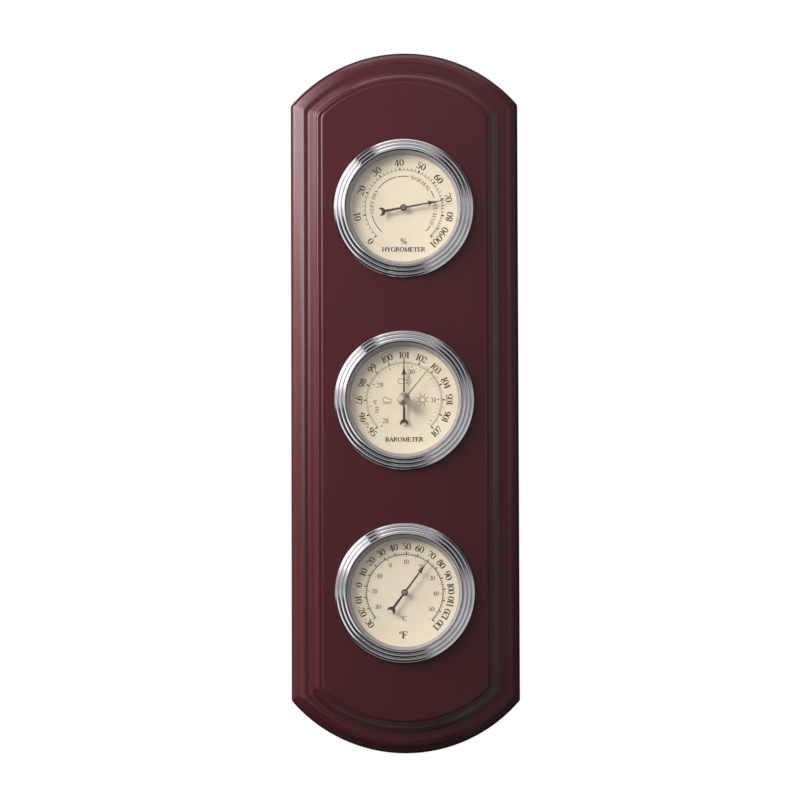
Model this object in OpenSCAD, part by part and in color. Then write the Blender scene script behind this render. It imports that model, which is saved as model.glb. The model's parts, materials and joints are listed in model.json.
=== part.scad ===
// Wall-hung weather station: a moulded wooden plaque with a hygrometer, an aneroid barometer and a
// thermometer as round inserts. Each piece is drawn lying on its back, with X to the right, Y up the
// wall and Z out of the wall, and stand() then turns it upright with its front towards -Y.
// The origin is the centre of the keyhole's round entry, in the plane of the wall.

/* [Plaque] */
// Width of the plaque
plaque_w = 117; // [105:1:130]
// Height of the plaque
plaque_h = 362; // [345:1:400]
// Thickness at the raised panel
plaque_t = 18; // [17.6:0.2:22]
// Radius of the arched ends
end_r = 77; // [70:1:100]
// Radius that softens the four corners in plan
corner_r = 2.5; // [1:0.5:5]

/* [Moulding] */
// Height of the plain outer edge
edge_t = 8; // [6:0.5:8.5]
// Radius of the convex outer band
thumb_r = 7.5; // [6:0.5:8]
// Angle that the convex band turns through
thumb_angle = 67; // [50:1:70]
// Flat between the convex band and the cove
dip_w = 0.8; // [0.4:0.1:1.5]
// Radius of the cove
cove_r = 6.2; // [5:0.1:6.5]
// Angle that the cove turns through
cove_angle = 57; // [45:1:60]
// Width of the flat step below the panel
step_w = 2.5; // [1.5:0.1:3]
// Height of the panel over the step
panel_rise = 1.2; // [0.8:0.1:1.5]
// Rounding of the step's and the panel's arris
arris_r = 0.4; // [0.2:0.1:0.6]

/* [Hanger] */
// Distance of the keyhole's entry below the plaque's top
hanger_drop = 29; // [25:1:33]
// Width of the hanger plate
hanger_w = 48; // [44:1:54]
// Height of the hanger plate
hanger_h = 20; // [20:0.5:24]
// Thickness of the hanger plate
hanger_t = 1.5; // [1.2:0.1:2]
// Radius of the keyhole's round entry
keyhole_r = 4.5; // [4:0.1:5]
// Width of the keyhole's slot
slot_w = 4.6; // [4:0.1:5]
// Length from the entry's centre to the slot's end centre
slot_l = 8; // [6:0.5:9]
// Depth of the hollow for the nail's head
nail_room = 7; // [5:0.5:9]
// Distance of each hanger screw from the middle
hanger_screw_x = 19; // [17:0.5:20]
// Radius of the hanger screws' shank
hanger_screw_r = 1.3; // [1:0.1:1.5]
// Radius of the hanger screws' head
hanger_head_r = 2.9; // [2.6:0.1:3.2]
// Length of the hanger screws
hanger_screw_l = 11; // [9:0.5:13]

/* [Inserts] */
// Distance between neighbouring instruments
dial_spacing = 99.2; // [96:0.1:102]
// Radius of the case's cup
case_r = 29.4; // [29:0.1:30.5]
// Width of the gap that the grip ring fills between the cup and its bore
grip_w = 1.1; // [1:0.05:1.4]
// Width of the bezel beyond the cup
bezel_over = 6.6; // [6.4:0.1:7.5]
// Radius of each of the bezel's three rounded ribs
rib_r = 1; // [0.8:0.05:1]
// Rise from one rib to the next
rib_step = 2.2; // [2:0.1:2.4]
// Thickness of the case's back and flange
case_t = 0.9; // [0.7:0.1:1]
// Distance of the case's back from the wall
case_gap = 1.6; // [1.4:0.1:1.8]
// Width of the ledge that carries the dial
ledge_w = 1; // [0.8:0.1:1.2]
// Height of the grip ring
grip_h = 6; // [4:0.5:7]
// Radius of the air holes in the case's back
vent_r = 2; // [1.5:0.1:2.5]
// Distance of the air holes' centres from the cup's inside
vent_in = 5; // [4.5:0.5:6]
// Number of air holes in the hygrometer's and the thermometer's case
coil_vents = 8; // [4:2:8]
// Number of air holes in the barometer's case
baro_vents = 6; // [6:6:6]
// Thickness of the dial
dial_t = 0.5; // [0.4:0.1:0.6]
// Width of the dial's rim that the bright cone covers
dial_cover = 0.8; // [0.6:0.1:1.4]
// Thickness of the window
lens_t = 1.2; // [1:0.1:1.3]
// Height of the window's back over the dial
lens_rise = 4.6; // [4.5:0.1:5]

/* [Pointers] */
// Thickness of the pointers
pointer_t = 0.3; // [0.2:0.05:0.35]
// Radius of the pointers' hub
hub_r = 1.7; // [1.5:0.1:1.9]
// Height of the hub
hub_h = 0.8; // [0.7:0.05:0.9]
// Length of the hygrometer's pointer
hygro_reach = 21.3; // [20:0.1:22]
// Length of the barometer's pointer
baro_reach = 21.7; // [20:0.1:22]
// Length of the thermometer's pointer
thermo_reach = 20.9; // [20:0.1:22]
// Distance of the arrowhead's barbs from the hub
arrow_at = 13.2; // [12:0.1:14]
// Length of the arrowhead
arrow_l = 3; // [2.5:0.1:3.5]
// Distance of the tail's end from the hub
tail_l = 12.4; // [11.5:0.1:13]
// Radius of the tail's fork
fork_r = 2.1; // [1.8:0.1:2.3]
// Reading of the hygrometer, as the pointer's angle clockwise from the top
hygro_angle = 79.9; // [-135:0.1:135]
// Reading of the barometer, as the pointer's angle clockwise from the top
baro_angle = 0; // [-135:0.1:135]
// Reading of the thermometer, as the pointer's angle clockwise from the top
thermo_angle = 36.5; // [-129:0.1:134]
// Angle of the set hand clockwise from the top
set_angle = 39; // [-180:1:180]
// Height of the hygrometer's and thermometer's pointer over the dial
pointer_rise = 2.7; // [2.5:0.1:3]
// Height of the barometer's pointer over the dial
baro_pointer_rise = 1.9; // [1.7:0.1:2]

/* [Set hand] */
// Length of the set hand
set_reach = 21.1; // [20:0.1:22]
// Thickness of the set hand
set_t = 0.25; // [0.2:0.05:0.3]
// Radius of the set hand's hub
set_hub_r = 1.6; // [1.4:0.1:1.8]
// Radius of the set hand's shaft
set_shaft_r = 0.8; // [0.7:0.05:0.9]
// Largest radius of the set knob
knob_r = 3.35; // [3:0.05:3.6]
// Height of the set knob
knob_h = 2.6; // [2.2:0.1:3]
// Wall of the bush in the window
bush_wall = 0.8; // [0.7:0.05:1]
// Width of the bush's collar beyond its wall
bush_collar = 1; // [0.8:0.1:1.2]
// Thickness of the bush's collar
bush_collar_t = 0.45; // [0.4:0.05:0.5]

/* [Coil movement] */
// Radius of the arbors of the hygrometer and the thermometer
arbor_r = 0.75; // [0.65:0.05:0.85]
// Radius of the arbor's collet
collet_r = 1.4; // [1.3:0.05:1.5]
// Radius of the coil's outer turn
coil_r = 9.1; // [8:0.1:9.5]
// Number of turns of the coil
coil_turns = 4.5; // [3.5:0.5:5.5]
// Thickness of the coil's strip
coil_t = 0.3; // [0.2:0.05:0.4]
// Width of the coil's strip
coil_w = 3.4; // [3:0.1:3.6]
// Radius of the adjuster in the case's back
adjuster_r = 6; // [5.5:0.1:6.5]
// Width of the adjuster's flange beyond its edge
adjuster_lip = 1.5; // [1:0.1:1.8]
// Radius of the post that holds the coil's outer end
anchor_r = 0.5; // [0.4:0.05:0.6]
// Distance of the bridge's legs from the axis
bridge_x = 15.5; // [14:0.5:16]
// Height of the bridge's top over the case's floor
bridge_h = 8; // [7.8:0.1:8.5]
// Width of the bridge's strip
bridge_w = 7; // [6:0.5:8]
// Thickness of the bridge's strip
bridge_t = 1; // [0.8:0.1:1.2]
// Length of the bridge's feet
bridge_foot = 4.5; // [4:0.5:5]
// Radius of the bridge's bearing boss
bearing_r = 2; // [1.8:0.1:2.4]
// Radius of the small screws' shank
screw_r = 1; // [0.8:0.05:1.1]
// Radius of the small screws' head
screw_head_r = 2; // [1.8:0.1:2.1]
// Height of the small screws' head
screw_head_h = 0.7; // [0.6:0.05:0.8]

/* [Aneroid movement] */
// Gap round the base plate in the cup
base_gap = 1; // [0.8:0.1:2]
// Thickness of the movement's plates
plate_t = 1.2; // [1:0.1:1.2]
// Distance of the capsule's rim inside the pillars' circle
capsule_in = 7; // [6.8:0.1:8]
// Thickness of the capsule at its corrugations
capsule_t = 3.4; // [3:0.1:3.5]
// Number of the capsule's corrugations on each face
capsule_waves = 4; // [3:1:5]
// Depth of the capsule's corrugations
wave_depth = 0.35; // [0.2:0.05:0.4]
// Radius of the capsule's studs
stud_r = 2; // [1.8:0.1:2.2]
// Height of the capsule's foot over the base plate
capsule_foot = 0.6; // [0.5:0.05:0.65]
// Room between the capsule's front stud and the lever's arm at rest
capsule_travel = 0.85; // [0.8:0.05:0.9]
// Distance from the rocking shaft to the capsule's axis
lever_reach = 4; // [3.8:0.1:4]
// Width of the lever's arm
arm_w = 1.6; // [1.2:0.1:2]
// Thickness of the lever's arm
arm_t = 0.7; // [0.6:0.05:0.7]
// Radius of the pillars
pillar_r = 1.6; // [1.4:0.1:1.8]
// Distance of the pillars' centres from the base plate's edge
pillar_in = 5.5; // [4.5:0.1:5.7]
// Height of the pillars
pillar_h = 11.6; // [11.5:0.1:11.9]
// Margin of the top plate beyond the pillars' centres
top_margin = 3; // [2.8:0.1:4]
// Thickness of the cock
cock_t = 0.6; // [0.5:0.1:0.6]
// Distance from the top plate down to the cock
cock_drop = 3.9; // [3.8:0.1:3.9]
// Radius of the cock's posts
post_r = 1.2; // [1:0.1:1.3]
// Module of the sector's and the pinion's teeth
gear_module = 0.22; // [0.21:0.005:0.23]
// Teeth of the pinion
pinion_teeth = 12; // [12:1:12]
// Teeth that the sector would have as a full wheel
sector_teeth = 108; // [108:1:108]
// Teeth cut on each side of the sector's middle tooth
sector_side_teeth = 6; // [6:1:7]
// Thickness of the sector
sector_t = 1; // [0.8:0.1:1]
// Height of the sector over the cock
sector_rise = 1.5; // [1.4:0.1:1.6]
// Length of the sector's tail
tail_tab_l = 3.4; // [3.2:0.1:3.5]
// Width of the sector's tail
tail_tab_w = 0.8; // [0.7:0.05:0.9]
// Radius of the pinion's arbor and of the sector's staff
staff_r = 0.6; // [0.5:0.05:0.65]
// Radius of the rocking shaft
rock_r = 0.5; // [0.45:0.05:0.55]
// Height of the rocking shaft over the base plate
rock_h = 5.6; // [5.6:0.05:5.7]
// Gap between the ears and the pillars
ear_gap = 0.6; // [0.5:0.1:0.8]
// Width of the ears
ear_w = 3; // [2.6:0.1:3.4]
// Radius of the lever's finger
finger_r = 0.35; // [0.3:0.05:0.4]
// Distance of the finger from the sector's axis
finger_at = 2.4; // [2.3:0.1:2.5]
// Radius of the hairspring's outer turn
hairspring_r = 4; // [3.5:0.1:4.5]
// Turns of the hairspring
hairspring_turns = 5; // [4:0.5:6]
// Width of the hairspring's strip
hairspring_w = 0.6; // [0.5:0.05:0.7]
// Thickness of the hairspring's strip
hairspring_t = 0.12; // [0.1:0.01:0.15]
// Radius of the adjusting screw
adjust_r = 1.5; // [1.3:0.1:1.6]
// Radius of the adjusting screw's head
adjust_head_r = 2.6; // [2.4:0.1:2.8]

/* [Clearances] */
// Between pieces that are pressed or laid together
fit = 0.02; // [0.01:0.01:0.03]
// Round a shaft that turns in its bearing
running = 0.05; // [0.03:0.01:0.08]
// Between pieces that move past each other
free = 0.3; // [0.3:0.05:0.4]
// Round a screw in a plain hole, and between the bezel and what it holds
loose = 0.05; // [0.03:0.01:0.1]
// Round the dial in the case and the hanger plate in the wood
seat_gap = 0.1; // [0.05:0.05:0.15]

/* [Hidden] */
$fn = 96;
round_fn = 48;
// How far a cutter runs past the face that it cuts
over = 1;

HYGRO = 0;
BARO = 1;
THERMO = 2;

wood = [0.34, 0.15, 0.16];
chrome = [0.82, 0.82, 0.84];
cream = [0.9, 0.84, 0.72];
steel = [0.62, 0.63, 0.65];
brass = [0.78, 0.62, 0.33];
black = [0.09, 0.08, 0.08];
plastic = [0.16, 0.16, 0.17];
clear = [0.85, 0.92, 0.95, 0.3];

// The moulding's heights over the wall and its widths from the outer edge
thumb_w = thumb_r * sin(thumb_angle);
thumb_top = edge_t + thumb_r * (1 - cos(thumb_angle));
cove_w = cove_r * sin(cove_angle);
cove_top = thumb_top + cove_r * (1 - cos(cove_angle));
cove_end = thumb_w + dip_w + cove_w;
step_top = plaque_t - panel_rise;
step_end = cove_end + step_w;
arc_y = plaque_h / 2 - end_r;
hanger_y = plaque_h / 2 - hanger_drop;
nail_room_r = keyhole_r + 2;
hanger_hole_spare = 0.5;
hanger_tip_l = 2;
hanger_tip_r = 0.2;

// Heights of the inserts' pieces over the wall
case_floor = case_gap + case_t;
bore_r = case_r + grip_w;
bezel_r = case_r + bezel_over;
flange_r = bezel_r - 2 * rib_r;
flange_top = plaque_t + case_t;
ledge_top = flange_top - case_t - seat_gap;
dial_top = ledge_top + dial_t;
lens_back = dial_top + lens_rise;
lens_front = lens_back + lens_t;
case_in_r = case_r - case_t - ledge_w;
vent_circle_r = case_in_r - vent_in;
dial_seat_r = case_r - case_t + seat_gap;
dial_r = dial_seat_r - seat_gap;
dial_show_r = dial_r - dial_cover;
lip_r = bezel_r - 6 * rib_r;
lens_r = lip_r + rib_r - loose;
ring_t = 0.7;
grip_depth = 3;
grip_top = plaque_t - grip_depth;
grip_ridges = 4;
grip_core_t = 0.6;

// Heights of the coil movement
bridge_top = case_floor + bridge_h;
bearing_boss_h = 0.8;
bearing_front = bridge_top + bearing_boss_h;
adjuster_proud = 0.3;
adjuster_back = case_gap - adjuster_proud;
adjuster_flange_back = case_floor + fit;
adjuster_flange_t = 0.6;
adjuster_front = adjuster_flange_back + adjuster_flange_t;
adjuster_arm_w = 3;
arbor_sink = 0.4;
coil_rise = 1.7;
coil_back = adjuster_front + coil_rise;
collet_proud = 0.2;
collet_fit = 0.15;
coil_front = coil_back + coil_w;
pointer_back = dial_top + pointer_rise;
hub_sink = 0.25;
anchor_x = coil_r + coil_t / 2 + anchor_r + fit;
bridge_screw_x = bridge_x + bridge_foot / 2;
bridge_screw_proud = 0.6;

// Plan of the aneroid movement, and its heights
base_r = case_in_r - base_gap;
pillar_circle_r = base_r - pillar_in;
top_plate_r = pillar_circle_r + top_margin;
capsule_r = pillar_circle_r - capsule_in;
ear_y = pillar_circle_r - pillar_r - ear_gap - plate_t / 2;
base_back = case_floor + fit;
base_front = base_back + plate_t;
capsule_back = base_front + capsule_foot;
capsule_front = capsule_back + capsule_t;
rock_z = base_front + rock_h;
top_back = base_front + pillar_h;
top_front = top_back + plate_t;
cock_front = top_back - cock_drop;
cock_back = cock_front - cock_t;
hairspring_back = cock_front + free;
sector_back = cock_front + sector_rise;
sector_front = sector_back + sector_t;
baro_pointer_back = dial_top + baro_pointer_rise;
pinion_r = gear_module * pinion_teeth / 2;
sector_r = gear_module * sector_teeth / 2;
mesh_gap = 0.04;
sector_y = pinion_r + sector_r + mesh_gap;
finger_y = sector_y + finger_at;
finger_x = tail_tab_w / 2 + free + finger_r;
capsule_x = finger_x - lever_reach;
pillar_angles = [30, 150, 270];
base_screw_angles = [90, 210, 330];
base_screw_circle_r = pillar_circle_r - 5;
capsule_core_r = stud_r + 0.5;
capsule_rim_w = 0.6;
window_circle_r = 12.5;
window_r = 4.5;
post_x = 7;
post_y = -2;
far_post_x = -5.5;
far_post_y = sector_y + 4.3;
post_places = [[-post_x, post_y], [post_x, post_y], [far_post_x, far_post_y]];
post_pad_r = 2.2;
staff_pad_r = 1.6;
staff_proud = 0.1;
adjust_head_t = 1;
adjust_head_gap = 0.1;
adjust_head_back = case_gap - adjust_head_gap - adjust_head_t;
bush_r = set_shaft_r + bush_wall;
collar_r = bush_r + bush_collar;
collar_back = lens_back - bush_collar_t;
collar_front = lens_front + bush_collar_t;
knob_gap = 0.2;
knob_back = collar_front + knob_gap;
set_gap = 0.4;
set_back = collar_back - set_gap - set_t;

// Length, width and depth of the screwdriver slots
hanger_slot = [3.6, 0.7, 0.8];
pan_slot = [2 * (screw_head_r + over), 0.6, 0.4];
adjuster_slot = [8.4, 1.2, 0.8];
adjust_slot = [2 * (adjust_head_r + over), 0.7, 0.5];

// Half widths of the pointers' needle at the hub, at the arrowhead and at its tip, and of the tail
needle_hub = 0.33;
needle_mid = 0.2;
needle_tip = 0.06;
barb_w = 0.95;
barb_drop = 0.45;
tail_hub = 0.3;
tail_end = 0.5;
tail_at = tail_l - 1.4 * fork_r;

function arc(c, r, a0, a1, n) =
  [for (i = [0 : n]) let (a = a0 + (a1 - a0) * i / n) [c[0] + r * cos(a), c[1] + r * sin(a)]];

// Half of the plaque's cross-section: u runs inwards from the outer edge, the second value is the height
moulding = concat(
  [[0, 0]],
  arc([thumb_w, thumb_top - thumb_r], thumb_r, 90 + thumb_angle, 90, 14),
  arc([thumb_w + dip_w, thumb_top + cove_r], cove_r, 270, 270 + cove_angle, 12),
  arc([cove_end + arris_r, step_top - arris_r], arris_r, 180, 90, 5),
  [[step_end, step_top]],
  arc([step_end + arris_r, plaque_t - arris_r], arris_r, 180, 90, 5)
);

// Section of the bezel, from the window's seat outwards over the three ribs
bezel_seat = lens_front + loose;
bezel_section = concat(
  [[lip_r + rib_r, flange_top + loose], [lip_r + rib_r, bezel_seat]],
  arc([lip_r + rib_r, bezel_seat], rib_r, 180, 0, 14),
  arc([lip_r + 3 * rib_r, bezel_seat - rib_step], rib_r, 180, 0, 14),
  arc([lip_r + 5 * rib_r, bezel_seat - 2 * rib_step], rib_r, 180, 0, 14),
  [[bezel_r, plaque_t], [flange_r + 3 * loose, plaque_t], [flange_r + 3 * loose, flange_top + loose]]
);

module stand() translate([0, 0, -hanger_y]) rotate([90, 0, 0]) children();
module at_dial(i) stand() translate([0, (1 - i) * dial_spacing, 0]) children();
module at_height(z) translate([0, 0, z]) children();
module disc(r, back, front) translate([0, 0, back]) cylinder(r = r, h = front - back);
module bore(r, back, front) disc(r, back - over, front + over);
module clockwise(a) rotate([0, 0, -a]) children();
module ring_of(angles, r) for (a = angles) rotate([0, 0, a]) translate([r, 0, 0]) children();
module slot_cut(size, face)
  translate([-size[0] / 2, -size[1] / 2, face - over]) cube([size[0], size[1], over + size[2]]);

// Plaque
module plaque_slab() {
  left = [for (p = moulding) [p[0] - plaque_w / 2, p[1]]];
  right = [for (i = [len(moulding) - 1 : -1 : 0]) [plaque_w / 2 - moulding[i][0], moulding[i][1]]];
  rotate([90, 0, 0]) linear_extrude(plaque_h + 2 * over, center = true) polygon(concat(left, right));
}

module end_disc() {
  rim = [for (p = moulding) [end_r - p[0], p[1]]];
  rotate_extrude() polygon(concat(rim, [[0, plaque_t], [0, 0]]));
}

module plan_limit() {
  translate([0, arc_y, 0]) end_disc();
  translate([0, -arc_y, 0]) end_disc();
  translate([-end_r, -arc_y, 0]) cube([2 * end_r, 2 * arc_y, plaque_t]);
}

module corner_cut() {
  c = [-plaque_w / 2 + corner_r, sqrt(pow(end_r - corner_r, 2) - pow(plaque_w / 2 - corner_r, 2))];
  tip = [-plaque_w / 2, sqrt(pow(end_r, 2) - pow(plaque_w / 2, 2))];
  reach = 3;
  at_height(-over) linear_extrude(plaque_t + 2 * over) translate([0, arc_y]) difference() {
    polygon([c, c - [reach * corner_r, 0], c + reach * (tip - c), c * (1 + reach * corner_r / norm(c))]);
    translate(c) circle(corner_r, $fn = round_fn);
  }
}

module keyhole_2d(entry_r, half_w) {
  circle(entry_r, $fn = round_fn);
  translate([0, slot_l]) circle(half_w, $fn = round_fn);
  translate([-half_w, 0]) square([2 * half_w, slot_l]);
}

module hanger_outline(gap) {
  translate([-hanger_w / 2 - gap, slot_l / 2 - hanger_h / 2 - gap])
    square([hanger_w + 2 * gap, hanger_h + 2 * gap]);
}

module plaque() color(wood) stand() difference() {
  intersection() {
    plaque_slab();
    plan_limit();
  }
  for (s = [-1, 1]) for (t = [0, 1]) scale([s, 1, 1]) mirror([0, t, 0]) corner_cut();
  for (i = [HYGRO, BARO, THERMO]) translate([0, (1 - i) * dial_spacing, 0]) bore(bore_r, 0, plaque_t);
  translate([0, hanger_y, 0]) {
    at_height(-over) linear_extrude(over + hanger_t + fit) hanger_outline(seat_gap);
    at_height(-over) linear_extrude(over + nail_room) keyhole_2d(nail_room_r, nail_room_r);
    for (s = [-1, 1]) translate([s * hanger_screw_x, slot_l / 2, 0])
      disc(hanger_screw_r + fit, 0, hanger_screw_l + hanger_hole_spare);
  }
}

module hanger_plate() color(steel) stand() translate([0, hanger_y, 0]) difference() {
  linear_extrude(hanger_t) hanger_outline(0);
  at_height(-over) linear_extrude(hanger_t + 2 * over) keyhole_2d(keyhole_r, slot_w / 2);
  for (s = [-1, 1]) translate([s * hanger_screw_x, slot_l / 2, 0]) screw_sink();
}

// The countersink follows the screw's cone, wider by the clearance, and runs on past both faces
module screw_sink() {
  slope = (hanger_head_r - hanger_screw_r) / hanger_t;
  at_height(-over) cylinder(
    r1 = hanger_head_r + loose + slope * over,
    r2 = hanger_screw_r + loose,
    h = hanger_t + over);
  bore(hanger_screw_r + loose, 0, hanger_t);
}

module hanger_screws() color(steel) stand() translate([0, hanger_y + slot_l / 2, 0])
  for (s = [-1, 1]) translate([s * hanger_screw_x, 0, 0]) difference() {
    union() {
      cylinder(r1 = hanger_head_r, r2 = hanger_screw_r, h = hanger_t);
      disc(hanger_screw_r, hanger_t / 2, hanger_screw_l - hanger_tip_l);
      at_height(hanger_screw_l - hanger_tip_l)
        cylinder(r1 = hanger_screw_r, r2 = hanger_tip_r, h = hanger_tip_l);
    }
    for (a = [0, 90]) rotate([0, 0, a]) slot_cut(hanger_slot, 0);
  }

// Pieces that all three inserts share
module bezel(i) color(chrome) at_dial(i) rotate_extrude() polygon(bezel_section);

module lens(i, hole_r = 0) color(clear) at_dial(i) difference() {
  disc(lens_r, lens_back, lens_front);
  if (hole_r > 0) bore(hole_r, lens_back, lens_front);
}

module dial_ring(i) color(chrome) at_dial(i) rotate_extrude() polygon([
  [dial_show_r, dial_top], [dial_r, dial_top], [dial_r, flange_top],
  [lip_r + ring_t, lens_back], [lip_r, lens_back]
]);

module dial(i, hole_r) color(cream) at_dial(i) difference() {
  disc(dial_r, ledge_top, dial_top);
  bore(hole_r, ledge_top, dial_top);
}

module grip_ring(i) color(plastic) at_dial(i) rotate_extrude() polygon(concat(
  [[case_r + fit, grip_top - grip_h]],
  [for (k = [0 : 2 * grip_ridges - 1]) let (z = grip_top - grip_h + k * grip_h / (2 * grip_ridges - 1))
    [k % 2 == 0 ? case_r + grip_core_t : bore_r - fit, z]],
  [[case_r + fit, grip_top]]
));

module case_cup() difference() {
  union() {
    disc(case_r, case_gap, flange_top);
    disc(flange_r, plaque_t, flange_top);
  }
  disc(case_in_r, case_floor, flange_top + over);
  disc(dial_seat_r, ledge_top, flange_top + over);
}

module vents(n, turn, back, front)
  ring_of([for (k = [0 : n - 1]) turn + k * 360 / n], vent_circle_r) bore(vent_r, back, front);

module pan_screw(back, tip) difference() {
  union() {
    disc(screw_head_r, back - screw_head_h, back);
    disc(screw_r, back - screw_head_h, tip);
  }
  slot_cut(pan_slot, back - screw_head_h);
}

// Strip wound in a flat spiral, from near the arbor out to its anchor on the +X side
module spiral(r_in, r_out, turns, strip_t, back, front) {
  steps = round(turns * 28);
  path = [for (k = [0 : steps]) let (a = 360 * turns * (k / steps - 1))
    [a, r_in + (r_out - r_in) * k / steps]];
  outer = [for (p = path) (p[1] + strip_t / 2) * [cos(p[0]), sin(p[0])]];
  inner = [for (k = [steps : -1 : 0]) (path[k][1] - strip_t / 2) * [cos(path[k][0]), sin(path[k][0])]];
  at_height(back) linear_extrude(front - back) polygon(concat(outer, inner));
}

// Pointer shape, drawn pointing up
module fork_2d(r, end) difference() {
  translate([0, -end + r]) circle(r, $fn = round_fn);
  translate([0, -end + r * 0.25]) circle(r * 0.85, $fn = round_fn);
}

module needle_2d(reach) {
  polygon([[-needle_hub, 0], [needle_hub, 0], [needle_mid, arrow_at], [needle_tip, reach],
    [-needle_tip, reach], [-needle_mid, arrow_at]]);
  polygon([[0, arrow_at], [barb_w, arrow_at - barb_drop], [needle_mid, arrow_at + arrow_l],
    [-needle_mid, arrow_at + arrow_l], [-barb_w, arrow_at - barb_drop]]);
  polygon([[-tail_hub, 0], [tail_hub, 0], [tail_end, -tail_at], [-tail_end, -tail_at]]);
  fork_2d(fork_r, tail_l);
}

module pointer(i, reach, angle, back, shaft_r) color(black) at_dial(i) clockwise(angle) difference() {
  union() {
    at_height(back) linear_extrude(pointer_t) needle_2d(reach);
    disc(hub_r, back - hub_sink, back + hub_h - hub_sink);
  }
  bore(shaft_r + fit, back - hub_sink, back + hub_h);
}

// Hygrometer and thermometer movement
module coil_case(i) color(plastic) at_dial(i) difference() {
  case_cup();
  bore(adjuster_r + running, case_gap, case_floor);
  vents(coil_vents, 180 / coil_vents, case_gap, case_floor);
  ring_of([0, 180], bridge_screw_x) bore(screw_r + loose, case_gap, case_floor);
}

module bridge(i) color(steel) at_dial(i) difference() {
  union() {
    rotate([90, 0, 0]) linear_extrude(bridge_w, center = true) polygon(concat(
      [for (s = [-1, 1]) each s < 0 ? bridge_side(-1) : [for (k = [3 : -1 : 0]) bridge_side(1)[k]]],
      [for (s = [1, -1]) each s > 0 ? bridge_under(1) : [for (k = [1 : -1 : 0]) bridge_under(-1)[k]]]
    ));
    disc(bearing_r, bridge_top - bridge_t / 2, bearing_front);
  }
  bore(arbor_r + running, bridge_top - bridge_t, bearing_front);
  ring_of([0, 180], bridge_screw_x) bore(screw_r + fit, case_floor, case_floor + bridge_t);
}

function bridge_side(s) = [
  [s * (bridge_x + bridge_foot), case_floor],
  [s * (bridge_x + bridge_foot), case_floor + bridge_t],
  [s * bridge_x, case_floor + bridge_t],
  [s * bridge_x, bridge_top]
];
function bridge_under(s) = [
  [s * (bridge_x - bridge_t), case_floor],
  [s * (bridge_x - bridge_t), bridge_top - bridge_t]
];

module bridge_screws(i) color(steel) at_dial(i) ring_of([0, 180], bridge_screw_x)
  pan_screw(case_gap, case_floor + bridge_t + bridge_screw_proud);

module adjuster(i) color(brass) at_dial(i) difference() {
  union() {
    disc(adjuster_r, adjuster_back, adjuster_front);
    disc(adjuster_r + adjuster_lip, adjuster_flange_back, adjuster_front);
    translate([0, -adjuster_arm_w / 2, adjuster_flange_back])
      cube([anchor_x + 2 * anchor_r, adjuster_arm_w, adjuster_flange_t]);
    translate([anchor_x, 0, 0]) disc(anchor_r, adjuster_flange_back, coil_front);
  }
  disc(arbor_r + running, adjuster_flange_back - arbor_sink, adjuster_front + over);
  slot_cut(adjuster_slot, adjuster_back);
}

module coil(i, tint) color(tint) at_dial(i)
  spiral(collet_r + collet_fit + coil_t / 2, coil_r, coil_turns, coil_t, coil_back, coil_front);

module arbor(i) color(steel) at_dial(i) {
  disc(arbor_r, adjuster_flange_back - arbor_sink / 2, pointer_back + hub_h - 0.1);
  disc(collet_r, coil_back - collet_proud, coil_front + collet_proud);
}

// Barometer movement
module barometer_case() color(plastic) at_dial(BARO) difference() {
  case_cup();
  translate([capsule_x, 0, 0]) bore(adjust_r + 0.8, case_gap, case_floor);
  vents(baro_vents, 0, case_gap, case_floor);
  ring_of(base_screw_angles, base_screw_circle_r) bore(screw_r + loose, case_gap, case_floor);
}

module barometer_case_screws() color(steel) at_dial(BARO)
  ring_of(base_screw_angles, base_screw_circle_r) pan_screw(case_gap, base_front - 0.2);

module ear(side) difference() {
  translate([finger_x - ear_w / 2, side * ear_y - plate_t / 2, base_back + plate_t / 2])
    cube([ear_w, plate_t, rock_z - base_back - plate_t / 2 + 1]);
  translate([finger_x, side * ear_y, rock_z]) rotate([90, 0, 0])
    cylinder(r = rock_r + running, h = 3 * plate_t, center = true);
}

module barometer_base_plate() color(brass) at_dial(BARO) {
  difference() {
    disc(base_r, base_back, base_front);
    translate([capsule_x, 0, 0]) bore(adjust_r + running, base_back, base_front);
    ring_of(base_screw_angles, base_screw_circle_r)
      disc(screw_r + fit, base_back - over, base_front - 0.1);
    vents(baro_vents, 0, base_back, base_front);
  }
  ear(1);
  ear(-1);
}

module barometer_capsule() color(brass) at_dial(BARO) translate([capsule_x, 0, 0]) {
  steps = capsule_waves * 12;
  span = capsule_r - capsule_core_r - 1;
  front_face = [for (k = [0 : steps]) [capsule_core_r + span * k / steps,
    capsule_front - wave_depth * (1 - cos(360 * capsule_waves * k / steps)) / 2]];
  back_face = [for (k = [steps : -1 : 0]) [front_face[k][0],
    capsule_back + capsule_front - front_face[k][1]]];
  middle = (capsule_back + capsule_front) / 2;
  rotate_extrude() polygon(concat(
    [[0, capsule_back], [0, capsule_front]],
    front_face,
    [[capsule_r - capsule_rim_w, middle + capsule_rim_w / 2], [capsule_r, middle + capsule_rim_w / 2],
      [capsule_r, middle - capsule_rim_w / 2], [capsule_r - capsule_rim_w, middle - capsule_rim_w / 2]],
    back_face
  ));
  disc(stud_r, capsule_front - 0.2, rock_z - arm_t / 2 - capsule_travel);
  disc(capsule_core_r, base_front + fit, capsule_back + 0.2);
}

module barometer_pillars() color(brass) at_dial(BARO)
  ring_of(pillar_angles, pillar_circle_r) disc(pillar_r, base_front + fit, top_back - fit);

module barometer_top_plate() color(brass) at_dial(BARO) difference() {
  disc(top_plate_r, top_back, top_front);
  bore(staff_r + running, top_back, top_front);
  translate([0, sector_y, 0]) bore(staff_r + running, top_back, top_front);
  ring_of(pillar_angles, pillar_circle_r) bore(screw_r + fit, top_back, top_front);
  ring_of([0, 180, 270], window_circle_r) bore(window_r, top_back, top_front);
}

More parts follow.
